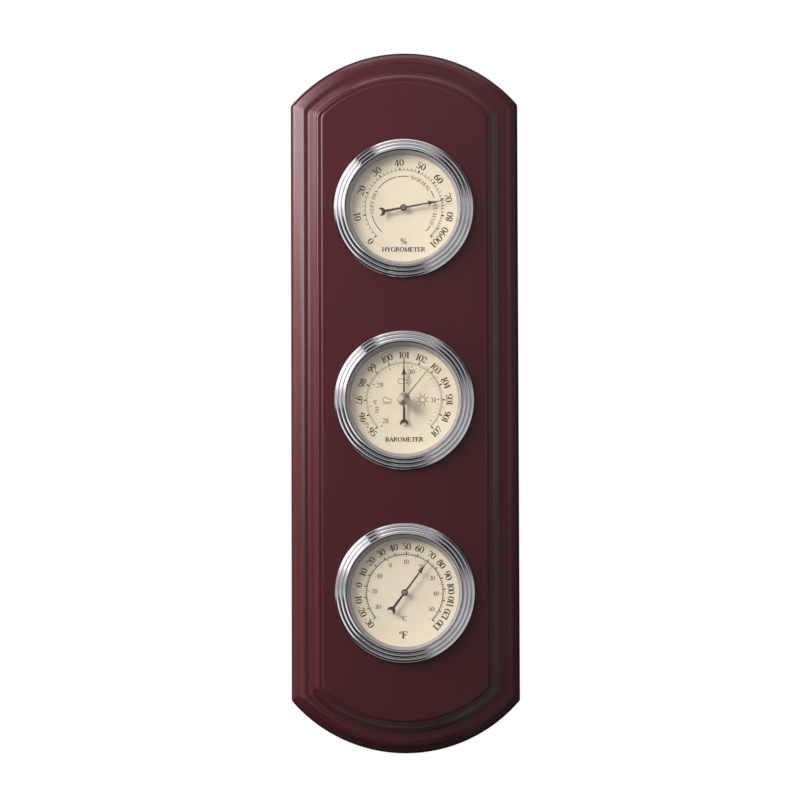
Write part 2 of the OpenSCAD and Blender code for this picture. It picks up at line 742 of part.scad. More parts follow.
module barometer_plate_screws() color(steel) at_dial(BARO) ring_of(pillar_angles, pillar_circle_r)
  at_height(top_front + fit) mirror([0, 0, 1]) pan_screw(0, plate_t - 0.1);

module barometer_cock() color(brass) at_dial(BARO) {
  difference() {
    at_height(cock_back) linear_extrude(cock_t) {
      polygon([post_places[0], post_places[1], [staff_pad_r, sector_y], post_places[2]]);
      for (p = post_places) translate(p) circle(post_pad_r, $fn = round_fn);
      translate([0, sector_y]) circle(staff_pad_r, $fn = round_fn);
    }
    bore(staff_r + running, cock_back, cock_front);
    translate([0, sector_y, 0]) bore(staff_r + running, cock_back, cock_front);
  }
  for (p = post_places) translate(p) disc(post_r, cock_back + cock_t / 2, top_back - fit);
  translate([hairspring_r + hairspring_t / 2 + finger_r + fit, 0, 0])
    disc(finger_r, cock_back + cock_t / 2, hairspring_back + hairspring_w);
}

module barometer_lever() color(steel) at_dial(BARO) {
  translate([finger_x, 0, rock_z]) rotate([90, 0, 0])
    cylinder(r = rock_r, h = 2 * ear_y + plate_t + 0.6, center = true);
  translate([capsule_x - arm_w / 2, -arm_w / 2, rock_z - arm_t / 2])
    cube([lever_reach + arm_w / 2, arm_w, arm_t]);
  translate([finger_x, finger_y, 0]) disc(finger_r, rock_z, sector_front + 0.2);
}

// Involute teeth: the half angle that a tooth fills at radius r on a wheel of n teeth
pressure = 20;
function unwind(a) = (tan(a) - a * PI / 180) * 180 / PI;
function base_r(n) = gear_module * n / 2 * cos(pressure);
function tooth_half(n, r) =
  78 / n + unwind(pressure) - (r > base_r(n) ? unwind(acos(base_r(n) / r)) : 0);
function flank(n, turn, radii, side) =
  [for (r = radii) r * [cos(turn + side * tooth_half(n, r)), sin(turn + side * tooth_half(n, r))]];
function tooth(n, turn, root, tip) =
  let (base = max(root, base_r(n)), up = [for (k = [0 : 4]) base + (tip - base) * k / 4])
  concat(
    flank(n, turn, concat([root], up), -1),
    flank(n, turn, concat([for (k = [4 : -1 : 0]) up[k]], [root]), 1)
  );

module barometer_sector() color(brass) at_dial(BARO) translate([0, sector_y, sector_back]) {
  step = 360 / sector_teeth;
  root = sector_r - 1.25 * gear_module;
  tip = sector_r + 0.7 * gear_module;
  half = step * (sector_side_teeth + 0.5);
  spoke_angle = 9;
  rim_angle = 4;
  linear_extrude(sector_t) difference() {
    union() {
      circle(hub_r, $fn = round_fn);
      polygon(concat([[0, 0]], [for (k = [-sector_side_teeth : sector_side_teeth])
        each tooth(sector_teeth, 270 + k * step, root, tip)]));
      translate([-tail_tab_w / 2, 0]) square([tail_tab_w, tail_tab_l]);
    }
    circle(staff_r + fit, $fn = round_fn);
    polygon(concat(
      arc([0, 0], hub_r + 1, 270 - half + spoke_angle, 270 + half - spoke_angle, 6),
      arc([0, 0], root - 1, 270 + half - rim_angle, 270 - half + rim_angle, 10)
    ));
  }
}

module barometer_sector_staff() color(steel) at_dial(BARO) translate([0, sector_y, 0])
  disc(staff_r, cock_back - staff_proud, top_front + staff_proud);

module barometer_pinion() color(steel) at_dial(BARO) {
  disc(staff_r, cock_back - staff_proud, baro_pointer_back + hub_h - 0.1);
  at_height(sector_back - 0.2) linear_extrude(sector_t + 0.4)
    polygon([for (k = [0 : pinion_teeth - 1])
      each tooth(pinion_teeth, 90 + (k + 0.5) * 360 / pinion_teeth, pinion_r - 1.2 * gear_module,
        pinion_r + gear_module)]);
}

module barometer_hairspring() color(brass) at_dial(BARO)
  spiral(staff_r + 0.3, hairspring_r, hairspring_turns, hairspring_t,
    hairspring_back, hairspring_back + hairspring_w);

module barometer_adjusting_screw() color(brass) at_dial(BARO) translate([capsule_x, 0, 0]) difference() {
  union() {
    disc(adjust_head_r, adjust_head_back, case_gap - adjust_head_gap);
    disc(adjust_r, adjust_head_back, base_front - 0.2);
  }
  slot_cut(adjust_slot, adjust_head_back);
}

// Set hand, its bearing in the window and its knob
module barometer_lens_bush() color(brass) at_dial(BARO) difference() {
  union() {
    disc(bush_r, collar_back, collar_front);
    disc(collar_r, collar_back, lens_back - fit);
    disc(collar_r, lens_front + fit, collar_front);
  }
  bore(set_shaft_r + running, collar_back, collar_front);
}

module barometer_set_hand() color(brass) at_dial(BARO) clockwise(set_angle) difference() {
  at_height(set_back) linear_extrude(set_t) {
    circle(set_hub_r, $fn = round_fn);
    polygon([[-0.35, 0], [0.35, 0], [0.12, set_reach], [-0.12, set_reach]]);
  }
  bore(set_shaft_r + fit, set_back, set_back + set_t);
}

module barometer_set_knob() color(brass) at_dial(BARO) {
  disc(set_shaft_r, set_back - 0.1, knob_back + 0.5);
  at_height(knob_back) rotate_extrude() polygon([
    [0, 0], [knob_r - 0.3, 0], [knob_r, 0.3], [knob_r, 0.9], [knob_r - 0.5, knob_h * 0.6],
    [knob_r - 1.3, knob_h - 0.2], [knob_r - 1.7, knob_h], [0.8, knob_h - 0.15], [0, knob_h - 0.4]
  ]);
}

plaque();
hanger_plate();
hanger_screws();

bezel(HYGRO);  // hygrometer_bezel
lens(HYGRO);  // hygrometer_lens
dial_ring(HYGRO);  // hygrometer_dial_ring
dial(HYGRO, arbor_r + free);  // hygrometer_dial
coil_case(HYGRO);  // hygrometer_case
grip_ring(HYGRO);  // hygrometer_grip_ring
bridge(HYGRO);  // hygrometer_bridge
bridge_screws(HYGRO);  // hygrometer_bridge_screws
adjuster(HYGRO);  // hygrometer_adjuster
coil(HYGRO, steel);  // hygrometer_coil
arbor(HYGRO);  // hygrometer_arbor
pointer(HYGRO, hygro_reach, hygro_angle, pointer_back, arbor_r);  // hygrometer_pointer

bezel(BARO);  // barometer_bezel
lens(BARO, bush_r + fit);  // barometer_lens
dial_ring(BARO);  // barometer_dial_ring
dial(BARO, staff_r + free);  // barometer_dial
barometer_case();
grip_ring(BARO);  // barometer_grip_ring
barometer_case_screws();
barometer_base_plate();
barometer_capsule();
barometer_pillars();
barometer_top_plate();
barometer_plate_screws();
barometer_cock();
barometer_lever();
barometer_sector();
barometer_sector_staff();
barometer_pinion();
barometer_hairspring();
barometer_adjusting_screw();
pointer(BARO, baro_reach, baro_angle, baro_pointer_back, staff_r);  // barometer_pointer
barometer_lens_bush();
barometer_set_hand();
barometer_set_knob();

bezel(THERMO);  // thermometer_bezel
lens(THERMO);  // thermometer_lens
dial_ring(THERMO);  // thermometer_dial_ring
dial(THERMO, arbor_r + free);  // thermometer_dial
coil_case(THERMO);  // thermometer_case
grip_ring(THERMO);  // thermometer_grip_ring
bridge(THERMO);  // thermometer_bridge
bridge_screws(THERMO);  // thermometer_bridge_screws
adjuster(THERMO);  // thermometer_adjuster
coil(THERMO, brass);  // thermometer_coil
arbor(THERMO);  // thermometer_arbor
pointer(THERMO, thermo_reach, thermo_angle, pointer_back, arbor_r);  // thermometer_pointer
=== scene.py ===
import json
import math

import bmesh
import bpy
from mathutils import Matrix, Vector


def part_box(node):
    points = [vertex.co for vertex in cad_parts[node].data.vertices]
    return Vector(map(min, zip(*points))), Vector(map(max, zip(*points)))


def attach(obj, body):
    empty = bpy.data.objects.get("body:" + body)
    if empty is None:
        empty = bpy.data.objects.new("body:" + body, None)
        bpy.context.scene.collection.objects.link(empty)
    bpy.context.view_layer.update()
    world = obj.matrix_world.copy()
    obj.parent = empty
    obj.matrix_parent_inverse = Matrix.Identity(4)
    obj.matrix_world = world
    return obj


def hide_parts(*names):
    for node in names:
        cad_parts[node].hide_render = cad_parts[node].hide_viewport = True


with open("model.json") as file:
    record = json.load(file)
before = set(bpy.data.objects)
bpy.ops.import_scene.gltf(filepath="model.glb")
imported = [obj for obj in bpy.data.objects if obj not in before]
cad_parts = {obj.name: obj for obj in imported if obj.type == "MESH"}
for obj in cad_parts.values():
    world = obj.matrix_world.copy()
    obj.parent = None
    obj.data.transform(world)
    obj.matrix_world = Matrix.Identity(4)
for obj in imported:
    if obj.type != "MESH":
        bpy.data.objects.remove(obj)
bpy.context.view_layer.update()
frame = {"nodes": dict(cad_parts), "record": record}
nodes = frame["nodes"]
slots = {part["node"]: part["material_slot"] for part in frame["record"]["subparts"]}

# A millimetre in metres, and the angle in degrees from which an edge stays sharp
MM = 0.001
SHARP = 30
KINDS = ("hygrometer", "barometer", "thermometer")


# Sizes of the plaque in mm. The photograph shows it a little wider and higher than its solid. CORNER_SPREAD
# is how much a corner's radius grows with each mm inwards. EDGE_TURN holds insets and rises over EDGE_T
plaque_lo, plaque_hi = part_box("plaque")
MORE_W, MORE_H = 0.4, 0.3
PLAQUE_W = (plaque_hi.x - plaque_lo.x) / MM + MORE_W
PLAQUE_H = (plaque_hi.z - plaque_lo.z) / MM + MORE_H
PLAQUE_T = (plaque_hi.y - plaque_lo.y) / MM
END_R = 77
CORNER_R = 2.5
CORNER_SPREAD = 0.12
EDGE_T = 7.6
EDGE_TURN = ((0, -1.2), (0, -0.6), (0.05, -0.1), (0.14, 0.34))
THUMB_R, THUMB_ANGLE = 8.4, math.radians(67)
DIP_W = 0.8
COVE_R, COVE_ANGLE = 6.2, math.radians(57)
STEP_W = 2.5
PANEL_RISE = 1.2
STEP_ARRIS_R = 0.8
STEP_FILLET_R = 0.15
PANEL_ARRIS_R = 0.6
BACK_R = 0.5
POCKET_D = 7.5
BORE_R = 30.5
THUMB_W = THUMB_R * math.sin(THUMB_ANGLE)
THUMB_TOP = EDGE_T + THUMB_R * (1 - math.cos(THUMB_ANGLE))
COVE_END = THUMB_W + DIP_W + COVE_R * math.sin(COVE_ANGLE)
COVE_TOP = THUMB_TOP + COVE_R * (1 - math.cos(COVE_ANGLE))
STEP_TOP = PLAQUE_T - PANEL_RISE
STEP_END = COVE_END + STEP_W

# Height of the plaque's middle in metres
PLAQUE_Z = (plaque_hi.z + plaque_lo.z) / 2

# Sizes of the inserts in mm, and the angles in degrees that a rib's round crown spans on each side
RIBS, RIB_W, RIB_STEP = 3, 2.0, 2.2
RIB_IN, RIB_OUT = 5, 62
VALLEY_D, VALLEY_W, VALLEY_RISE = 0.9, 0.05, 0.08
LIP_R, LIP_W, LIP_GAP = 30.0, 1, 0.05
FOOT_W, FOOT_H, FOOT_CHAMFER = 1.85, 0.95, 0.3
DIAL_SHOW_R, DIAL_R = 27.7, 28.5
CONE_GAP = 0.35


# Node trees
def rgb(r, g, b):
    """The linear colour of an sRGB colour given from 0 to 255."""
    def linear(c):
        c /= 255
        return c / 12.92 if c <= 0.04045 else ((c + 0.055) / 1.055) ** 2.4
    return (linear(r), linear(g), linear(b), 1)


def grey(level):
    return (level, level, level, 1)


class Tree:
    """Short ways to add nodes. A value is a number, a colour or the output of another node."""

    def __init__(self, tree):
        self.tree = tree

    def node(self, kind, **settings):
        n = self.tree.nodes.new(kind)
        for key, value in settings.items():
            setattr(n, key, value)
        return n

    def link(self, a, b):
        self.tree.links.new(a, b)

    def feed(self, socket, value):
        """Sets a socket to a number or a colour, or links an output to it."""
        if isinstance(value, (int, float, tuple)):
            socket.default_value = value
        else:
            self.link(value, socket)

    def feed_all(self, sockets, values):
        for socket, value in zip(sockets, values):
            self.feed(socket, value)

    def feed_named(self, node, **values):
        for key, value in values.items():
            self.feed(node.inputs[key.replace("_", " ")], value)

    def math(self, operation, a, b=0.0):
        n = self.node("ShaderNodeMath", operation=operation)
        self.feed_all(n.inputs, (a, b))
        return n.outputs[0]

    def mix(self, factor, a, b, blend="MIX"):
        n = self.node("ShaderNodeMix", data_type="RGBA", blend_type=blend)
        self.feed_all((n.inputs[0], n.inputs[6], n.inputs[7]), (factor, a, b))
        return n.outputs[2]

    def mix_shader(self, factor, a, b):
        n = self.node("ShaderNodeMixShader")
        self.feed_all(n.inputs, (factor, a, b))
        return n.outputs[0]

    def split(self, vector):
        """The outputs X, Y and Z of a vector."""
        n = self.node("ShaderNodeSeparateXYZ")
        self.link(vector, n.inputs[0])
        return n.outputs

    def ramp(self, value, stops):
        """Grey levels along a value, from (position, level) pairs."""
        n = self.node("ShaderNodeValToRGB")
        elements = n.color_ramp.elements
        elements[0].position, elements[1].position = stops[0][0], stops[-1][0]
        elements[0].color, elements[1].color = grey(stops[0][1]), grey(stops[-1][1])
        for position, level in stops[1:-1]:
            elements.new(position).color = grey(level)
        self.link(value, n.inputs[0])
        return n.outputs[0]


# Materials
class Shader(Tree):
    """A material's node tree round one Principled shader."""

    def __init__(self, name, **values):
        self.material = bpy.data.materials.new(name)
        self.material.use_nodes = True
        super().__init__(self.material.node_tree)
        self.tree.nodes.clear()
        self.out = self.node("ShaderNodeOutputMaterial")
        self.bsdf = self.node("ShaderNodeBsdfPrincipled")
        self.link(self.bsdf.outputs[0], self.out.inputs["Surface"])
        self.place = self.node("ShaderNodeTexCoord").outputs["Object"]
        self.feed_named(self.bsdf, **values)

    def set(self, name, value):
        """Feeds one of the shader's sockets."""
        self.feed(self.bsdf.inputs[name], value)

    def stretched(self, x, y, z):
        n = self.node("ShaderNodeMapping")
        self.feed_named(n, Vector=self.place, Scale=(x, y, z))
        return n.outputs[0]

    def noise(self, scale, detail=2.0, rough=0.5, vector=None, distortion=0.0):
        n = self.node("ShaderNodeTexNoise")
        self.feed_named(n, Vector=vector or self.place, Scale=scale, Detail=detail, Roughness=rough,
                        Distortion=distortion)
        return n.outputs["Fac"]

    def fit(self, value, lo, hi, to_lo=0.0, to_hi=1.0, smooth=False):
        """Maps lo..hi to to_lo..to_hi, clamped."""
        n = self.node("ShaderNodeMapRange", clamp=True)
        if smooth:
            n.interpolation_type = "SMOOTHSTEP"
        self.feed_named(n, Value=value, From_Min=lo, From_Max=hi, To_Min=to_lo, To_Max=to_hi)
        return n.outputs[0]

    def axis(self, name):
        return self.split(self.place)[name]

    def bump(self, height, distance, strength):
        n = self.node("ShaderNodeBump")
        self.feed_named(n, Strength=strength, Distance=distance, Height=height)
        self.set("Normal", n.outputs[0])


def dyed_red(s, cloud, grain, height):
    """The red under the lacquer, with painted shade: darker to the right and below, along the hollows and on
    the outer edge.
    """
    fine = s.noise(1900, 2, 0.5, s.stretched(1, 1, 0.02))
    red = s.mix(s.fit(cloud, 0.3, 0.7), rgb(70, 23, 28), rgb(75, 25, 31))
    red = s.mix(s.fit(grain, 0.35, 0.75, 0.0, 0.3), red, rgb(66, 22, 27))
    red = s.mix(s.fit(fine, 0.55, 0.8, 0.0, 0.12), red, rgb(48, 15, 19))
    # Painted shade: the red darkens towards the lower right, where the light from the upper left falls off.
    darkest, lightest, sideways = -0.4, 0.09, -2.2
    place = s.math("ADD", s.math("MULTIPLY", s.axis("X"), sideways), s.axis("Z"))
    red = s.mix(s.fit(place, darkest, lightest), s.mix(0.55, red, rgb(38, 11, 15)), red)
    # Painted shade in the hollows: the dip, the riser at the cove's top and the step's flat are darkened.
    for middle, reach, share in ((THUMB_TOP, 0.4, 0.1), (COVE_TOP + 0.2, 0.3, 0.2), (STEP_TOP, 0.16, 0.15)):
        near = s.math("ABSOLUTE", s.math("SUBTRACT", height, middle))
        red = s.mix(s.fit(near, 0, reach, share, 0, True), red, rgb(38, 9, 12))
    # Painted shade: the plaque's side and the outer foot of the moulding turn dark grey.
    edge = s.fit(height, EDGE_T + 0.8, EDGE_T + 1.7, 0.92, 0.0)
    return s.mix(edge, red, rgb(30, 19, 20))


def coat_weight(s, height):
    """The coat: thinner in the hollow along the left edge, and on the outer slope to the right and below."""
    left, right, low = plaque_lo.x, plaque_hi.x, plaque_lo.z
    hollow = s.math("MULTIPLY", s.fit(height, THUMB_TOP - 0.05, THUMB_TOP + 0.3),
                    s.fit(height, COVE_TOP - 0.4, COVE_TOP, 1.0, 0.0))
    off_hollow = s.fit(s.axis("X"), left + 5.5 * MM, left + 23.5 * MM, 0.72, 0.0)
    slope = s.fit(height, THUMB_TOP - 1.5, THUMB_TOP - 0.3, 1.0, 0.0)
    off_slope = s.math("MAXIMUM", s.fit(s.axis("X"), right - 23.5 * MM, right - 6.5 * MM, 0.0, 0.65),
                       s.fit(s.axis("Z"), low + 21 * MM, low + 35 * MM, 0.65, 0.0))
    thinner = s.math("ADD", s.math("MULTIPLY", hollow, off_hollow), s.math("MULTIPLY", slope, off_slope))
    return s.math("SUBTRACT", 1.0, thinner)


def lacquered_wood():
    """Dark red lacquer over close grain that runs up the plaque."""
    s = Shader("lacquered_wood", Roughness=0.5, Specular_IOR_Level=0.0, Coat_Weight=1.0, Coat_Roughness=0.15,
               Coat_IOR=1.43)
    cloud = s.noise(22, 3, 0.55, s.stretched(1, 1, 0.45))
    grain = s.noise(520, 5, 0.6, s.stretched(1, 1, 0.035), 0.4)
    height = s.math("MULTIPLY", s.axis("Y"), -1 / MM)
    # The base colour carries painted shade from the lower-right fall-off, the hollows and the outer edge.
    s.set("Base Color", dyed_red(s, cloud, grain, height))
    s.set("Roughness", s.fit(cloud, 0.3, 0.7, 0.46, 0.54))
    s.set("Coat Weight", coat_weight(s, height))
    ripple = s.math("ADD", s.noise(160, 2, 0.5), s.math("MULTIPLY", grain, 0.25))
    s.bump(ripple, 0.00002, 0.35)
    return s.material


def bare_back():
    """The plaque's back: the same wood with a thin dull seal and open grain."""
    s = Shader("sealed_back", Roughness=0.6)
    rings = s.noise(60, 4, 0.6, s.stretched(1, 1, 0.05), 1.5)
    pores = s.noise(900, 3, 0.6, s.stretched(1, 1, 0.03))
    brown = s.mix(s.fit(rings, 0.3, 0.7), rgb(104, 66, 52), rgb(134, 90, 68))
    brown = s.mix(s.fit(pores, 0.5, 0.75, 0.0, 0.5), brown, rgb(70, 40, 32))
    s.set("Base Color", brown)
    s.set("Roughness", s.fit(pores, 0.3, 0.8, 0.52, 0.75))
    s.bump(pores, 0.00008, 0.6)
    return s.material


def metal(name, colour, rough, detail=0.03, scale=400, flow=(1, 1, 1), relief=0.0, anisotropic=0.0):
    """A metal whose roughness and relief follow its polishing or brushing marks."""
    s = Shader(name, Metallic=1.0, Roughness=rough, Anisotropic=anisotropic)
    marks = s.noise(scale, 3, 0.6, s.stretched(*flow))
    tint = tuple(0.86 * c for c in colour[:3]) + (1,)
    s.set("Base Color", s.mix(s.fit(s.noise(90, 3), 0.35, 0.7), colour, tint))
    s.set("Roughness", s.fit(marks, 0.3, 0.7, max(rough - detail, 0.01), rough + detail))
    if anisotropic:
        tangent = s.node("ShaderNodeTangent", direction_type="RADIAL", axis="Y")
        s.set("Tangent", tangent.outputs[0])
    if relief:
        s.bump(marks, relief, 0.5)
    return s.material


def satin_metal(name, colour):
    """A pale satin plating."""
    s = Shader(name, Metallic=0.35, Roughness=0.4)
    cloud = s.noise(260, 3, 0.6)
    dim = tuple(0.9 * c for c in colour[:3]) + (1,)
    s.set("Base Color", s.mix(s.fit(cloud, 0.35, 0.7), colour, dim))
    s.set("Roughness", s.fit(s.noise(1200, 2), 0.3, 0.7, 0.36, 0.48))
    return s.material


def plastic(name, colour, rough, relief):
    """A fine matt moulding."""
    s = Shader(name, Roughness=rough)
    texture = s.noise(2600, 2, 0.6)
    light = tuple(min(1, 1.35 * c) for c in colour[:3]) + (1,)
    s.set("Base Color", s.mix(s.fit(s.noise(120, 3), 0.35, 0.7), colour, light))
    s.set("Roughness", s.fit(texture, 0.3, 0.7, rough - 0.06, rough + 0.08))
    s.bump(texture, relief, 0.5)
    return s.material


def dial_face():
    """Cream printed face with a very slight mottle."""
    s = Shader("dial_face", Roughness=0.55, Specular_IOR_Level=0.25)
    cloud = s.noise(70, 4, 0.6)
    fleck = s.noise(2400, 2, 0.6)
    cream = s.mix(s.fit(cloud, 0.3, 0.7), rgb(238, 225, 200), rgb(234, 219, 193))
    cream = s.mix(s.fit(fleck, 0.55, 0.8, 0.0, 0.2), cream, rgb(221, 205, 178))
    s.set("Base Color", cream)
    s.set("Roughness", s.fit(fleck, 0.3, 0.7, 0.5, 0.62))
    s.bump(fleck, 0.00001, 0.3)
    return s.material


def ink(name, colour):
    """Printing ink or black paint that lies a little thinner here and there."""
    s = Shader(name, Roughness=0.6, Specular_IOR_Level=0.2)
    thin = tuple(min(1, 1.25 * c) for c in colour[:3]) + (1,)
    s.set("Base Color", s.mix(s.fit(s.noise(1500, 2), 0.4, 0.7), colour, thin))
    return s.material


def window_glass():
    """Clear glass that lets the lamps' light through to the dial."""
    s = Shader("window_glass", Roughness=0.0, IOR=1.5, Transmission_Weight=1.0)
    s.set("Base Color", (0.99, 1.0, 0.995, 1))
    path = s.node("ShaderNodeLightPath").outputs
    through = s.math("MAXIMUM", path["Is Shadow Ray"], path["Is Diffuse Ray"])
    clear = s.node("ShaderNodeBsdfTransparent")
    clear.inputs[0].default_value = (0.97, 0.975, 0.97, 1)
    s.link(s.mix_shader(through, s.bsdf.outputs[0], clear.outputs[0]), s.out.inputs["Surface"])
    return s.material


def coated_strip():
    """Steel strip with a dull moisture-sensitive coat."""
    s = Shader("coil_hygroscopic", Roughness=0.5, Metallic=0.55)
    patches = s.noise(700, 3, 0.6)
    s.set("Base Color", s.mix(s.fit(patches, 0.35, 0.7), rgb(150, 148, 140), rgb(112, 112, 108)))
    s.set("Roughness", s.fit(patches, 0.3, 0.7, 0.4, 0.6))
    return s.material


METALS = {
    "hanger_steel": (rgb(176, 174, 168), 0.42, 0.1, 700, (0.05, 1, 1), 0.00003),
    "bezel_chrome": (rgb(226, 225, 229), 0.07, 0.02, 300),
    "movement_steel": (rgb(186, 187, 190), 0.28, 0.06, 1600),
    "screw_steel": (rgb(196, 196, 198), 0.32, 0.06, 1400),
    "movement_brass": (rgb(203, 170, 104), 0.3, 0.07, 1400, (1, 1, 0.04), 0.00001),
    "capsule_metal": (rgb(196, 192, 182), 0.3, 0.06, 1200),
    "coil_bronze": (rgb(196, 140, 84), 0.34, 0.06, 1200),
    "set_hand_brass": (rgb(112, 94, 72), 0.35, 0.05, 900),
    "knob_metal": (rgb(226, 212, 194), 0.3, 0.04, 500, (1, 1, 1), 0.0, 0.9),
}
MATERIALS = {name: metal(name, *values) for name, values in METALS.items()}
MATERIALS |= {
    "lacquered_wood": lacquered_wood(),
    "ring_chrome": satin_metal("ring_chrome", rgb(160, 154, 160)),
    "window": window_glass(),
    "dial_face": dial_face(),
    "case_plastic": plastic("case_plastic", rgb(34, 34, 36), 0.5, 0.00003),
    "grip_plastic": plastic("grip_plastic", rgb(62, 62, 64), 0.6, 0.00002),
    "pointer_black": ink("pointer_black", rgb(30, 17, 12)),
    "coil_hygroscopic": coated_strip(),
}
BACK = bare_back()
INKS = {
    "dark": ink("print_dark", rgb(56, 39, 20)),
    "pale": ink("print_pale", rgb(128, 105, 76)),
    "band": ink("print_band", rgb(200, 186, 158)),
    "red": ink("print_red", rgb(120, 93, 73)),
}
CAP = metal("arbor_cap", rgb(100, 86, 82), 0.34, 0.05, 900)

for name, cad in nodes.items():
    cad.data.materials.clear()
    cad.data.materials.append(MATERIALS[slots[name]])


# Making pieces
def new_mesh(name, points, faces, weld=None):
    """A mesh from points in metres, its faces turned outwards. Points closer than weld are joined."""
    mesh = bpy.data.meshes.new(name)
    mesh.from_pydata(points, [], faces)
    bm = bmesh.new()
    bm.from_mesh(mesh)
    if weld:
        bmesh.ops.remove_doubles(bm, verts=bm.verts, dist=weld)
    bmesh.ops.recalc_face_normals(bm, faces=bm.faces)
    bm.to_mesh(mesh)
    bm.free()
    return mesh


def new_object(name, data):
    made = bpy.data.objects.new(name, data)
    bpy.context.scene.collection.objects.link(made)
    return made


def piece(name, points, faces, slot, body, sharp, replaced=(), material=None):
    """Makes a piece from points in metres, in its slot's material or a given one. It rides on a body."""
    mesh = new_mesh(name, points, faces, 1e-7)
    mesh.shade_smooth()
    mesh.set_sharp_from_angle(angle=math.radians(sharp))
    mesh.materials.append(material or MATERIALS[slot])
    made = new_object(name, mesh)
    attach(made, body)
    if replaced:
        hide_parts(*replaced)
    return made


def spread(start, end, steps):
    """Evenly spaced angles from start to end."""
    return [start + (end - start) * k / steps for k in range(steps + 1)]


def arc(centre, radius, start, end, steps):
    """Points on an arc, by its angles in degrees anticlockwise from the right."""
    turns = [math.radians(angle) for angle in spread(start, end, steps)]
    return [(centre[0] + radius * math.cos(t), centre[1] + radius * math.sin(t)) for t in turns]


def polar(angle, radius):
    """A point by its angle in degrees clockwise from the top and its distance."""
    a = math.radians(angle)
    return radius * math.sin(a), radius * math.cos(a)


def turned_by(turn, x, y):
    """A point turned clockwise round the origin by degrees."""
    s, c = polar(turn, 1)
    return x * c + y * s, y * c - x * s


class Dial:
    """Places things on one instrument: x and y in mm from its centre as it is read, heights over the wall."""

    def __init__(self, kind):
        self.kind = kind
        lo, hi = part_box(kind + "_lens")
        self.x, self.z = (lo.x + hi.x) / 2, (lo.z + hi.z) / 2
        self.lens_back, self.lens_front = -hi.y / MM, -lo.y / MM
        self.top = -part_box(kind + "_dial")[0].y / MM

    def point(self, x, y, height):
        return (self.x + x * MM, -height * MM, self.z + y * MM)

    def turned(self, name, section, slot, body, steps, replaced=(), material=None):
        """A piece turned round the dial's axis from a closed section of (radius, height) in mm."""
        points, faces, n = [], [], len(section)
        for k in range(steps):
            a = 2 * math.pi * k / steps
            points += [self.point(r * math.cos(a), r * math.sin(a), h) for r, h in section]
            for i in range(n):
                j, following = (i + 1) % n, (k + 1) % steps
                faces.append((k * n + i, k * n + j, following * n + j, following * n + i))
        piece(name, points, faces, slot, body, SHARP, replaced, material)


DIALS = {kind: Dial(kind) for kind in KINDS}


# Plaque
def moulding_profile():
    """Distances from the outer edge and heights over the wall, from the back's edge to the panel's edge."""
    shoulder = arc((THUMB_W, THUMB_TOP - THUMB_R), THUMB_R, 90 + math.degrees(THUMB_ANGLE), 90, 28)
    return (
        arc((BACK_R, BACK_R), BACK_R, 270, 180, 5)
        + [(inset, EDGE_T + rise) for inset, rise in EDGE_TURN]
        + shoulder[2:]
        + arc((THUMB_W + DIP_W, THUMB_TOP + COVE_R), COVE_R, 270, 270 + math.degrees(COVE_ANGLE), 22)
        + arc((COVE_END + STEP_ARRIS_R, STEP_TOP - STEP_ARRIS_R), STEP_ARRIS_R, 180, 90, 8)
        + arc((STEP_END - STEP_FILLET_R, STEP_TOP + STEP_FILLET_R), STEP_FILLET_R, 270, 360, 4)
        + arc((STEP_END + PANEL_ARRIS_R, PLAQUE_T - PANEL_ARRIS_R), PANEL_ARRIS_R, 180, 90, 8)
    )


def outline(inset):
    """The plaque's outline moved inwards, anticlockwise from the right, always with as many points."""
    half, radius = PLAQUE_W / 2 - inset, END_R - inset
    soft = CORNER_R + CORNER_SPREAD * inset
    centre_y = PLAQUE_H / 2 - END_R
    x = half - soft
    y = math.sqrt((radius - soft) ** 2 - x ** 2)
    lean = math.degrees(math.atan2(y, x))
    corner = (x, centre_y + y)
    quarter = [(half, corner[1] * k / 20) for k in range(20)]
    quarter += arc(corner, soft, 0, lean, 8)
    quarter += arc((0, centre_y), radius, lean, 90, 40)[1:]
    upper = quarter + [(-px, py) for px, py in reversed(quarter[:-1])]
    return upper + [(-px, -py) for px, py in upper[1:-1]]


def cut(body, cutter):
    """Cuts one object out of another and removes the cutter."""
    modifier = body.modifiers.new("cut", "BOOLEAN")
    modifier.operation, modifier.solver, modifier.object = "DIFFERENCE", "EXACT", cutter
    graph = bpy.context.evaluated_depsgraph_get()
    mesh = bpy.data.meshes.new_from_object(body.evaluated_get(graph))
    body.modifiers.remove(modifier)
    body.data = mesh
    bpy.data.objects.remove(cutter)


def prism(shape, height):
    """A loose cutter with an outline in mm round the plaque's middle, from behind the wall up to a height."""
    n, behind = len(shape), -1
    points = [(x * MM, -h * MM, PLAQUE_Z + y * MM) for h in (behind, height) for x, y in shape]
    faces = [tuple(range(n)), tuple(range(2 * n - 1, n - 1, -1))]
    faces += [(k, k + n, (k + 1) % n + n, (k + 1) % n) for k in range(n)]
    return new_object("cutter", new_mesh("cutter", points, faces))


def box_outline(left, low, right, high):
    return [(left, low), (right, low), (right, high), (left, high)]


def cut_hanger_pocket(plaque, lo, hi):
    """Cuts the flat seat of the hanger plate, and the deeper room behind its keyhole for a nail's head."""
    gap, seat_t = 0.1, (hi.y - lo.y) / MM + 0.02
    low, high = (lo.z - PLAQUE_Z) / MM, (hi.z - PLAQUE_Z) / MM
    cut(plaque, prism(box_outline(lo.x / MM - gap, low - gap, hi.x / MM + gap, high + gap), seat_t))
    entry, room_r, slot_l = -PLAQUE_Z / MM, 6.5, 8
    room = arc((0, entry), room_r, 180, 360, 24) + arc((0, entry + slot_l), room_r, 0, 180, 24)
    cut(plaque, prism(room, POCKET_D - 0.5))


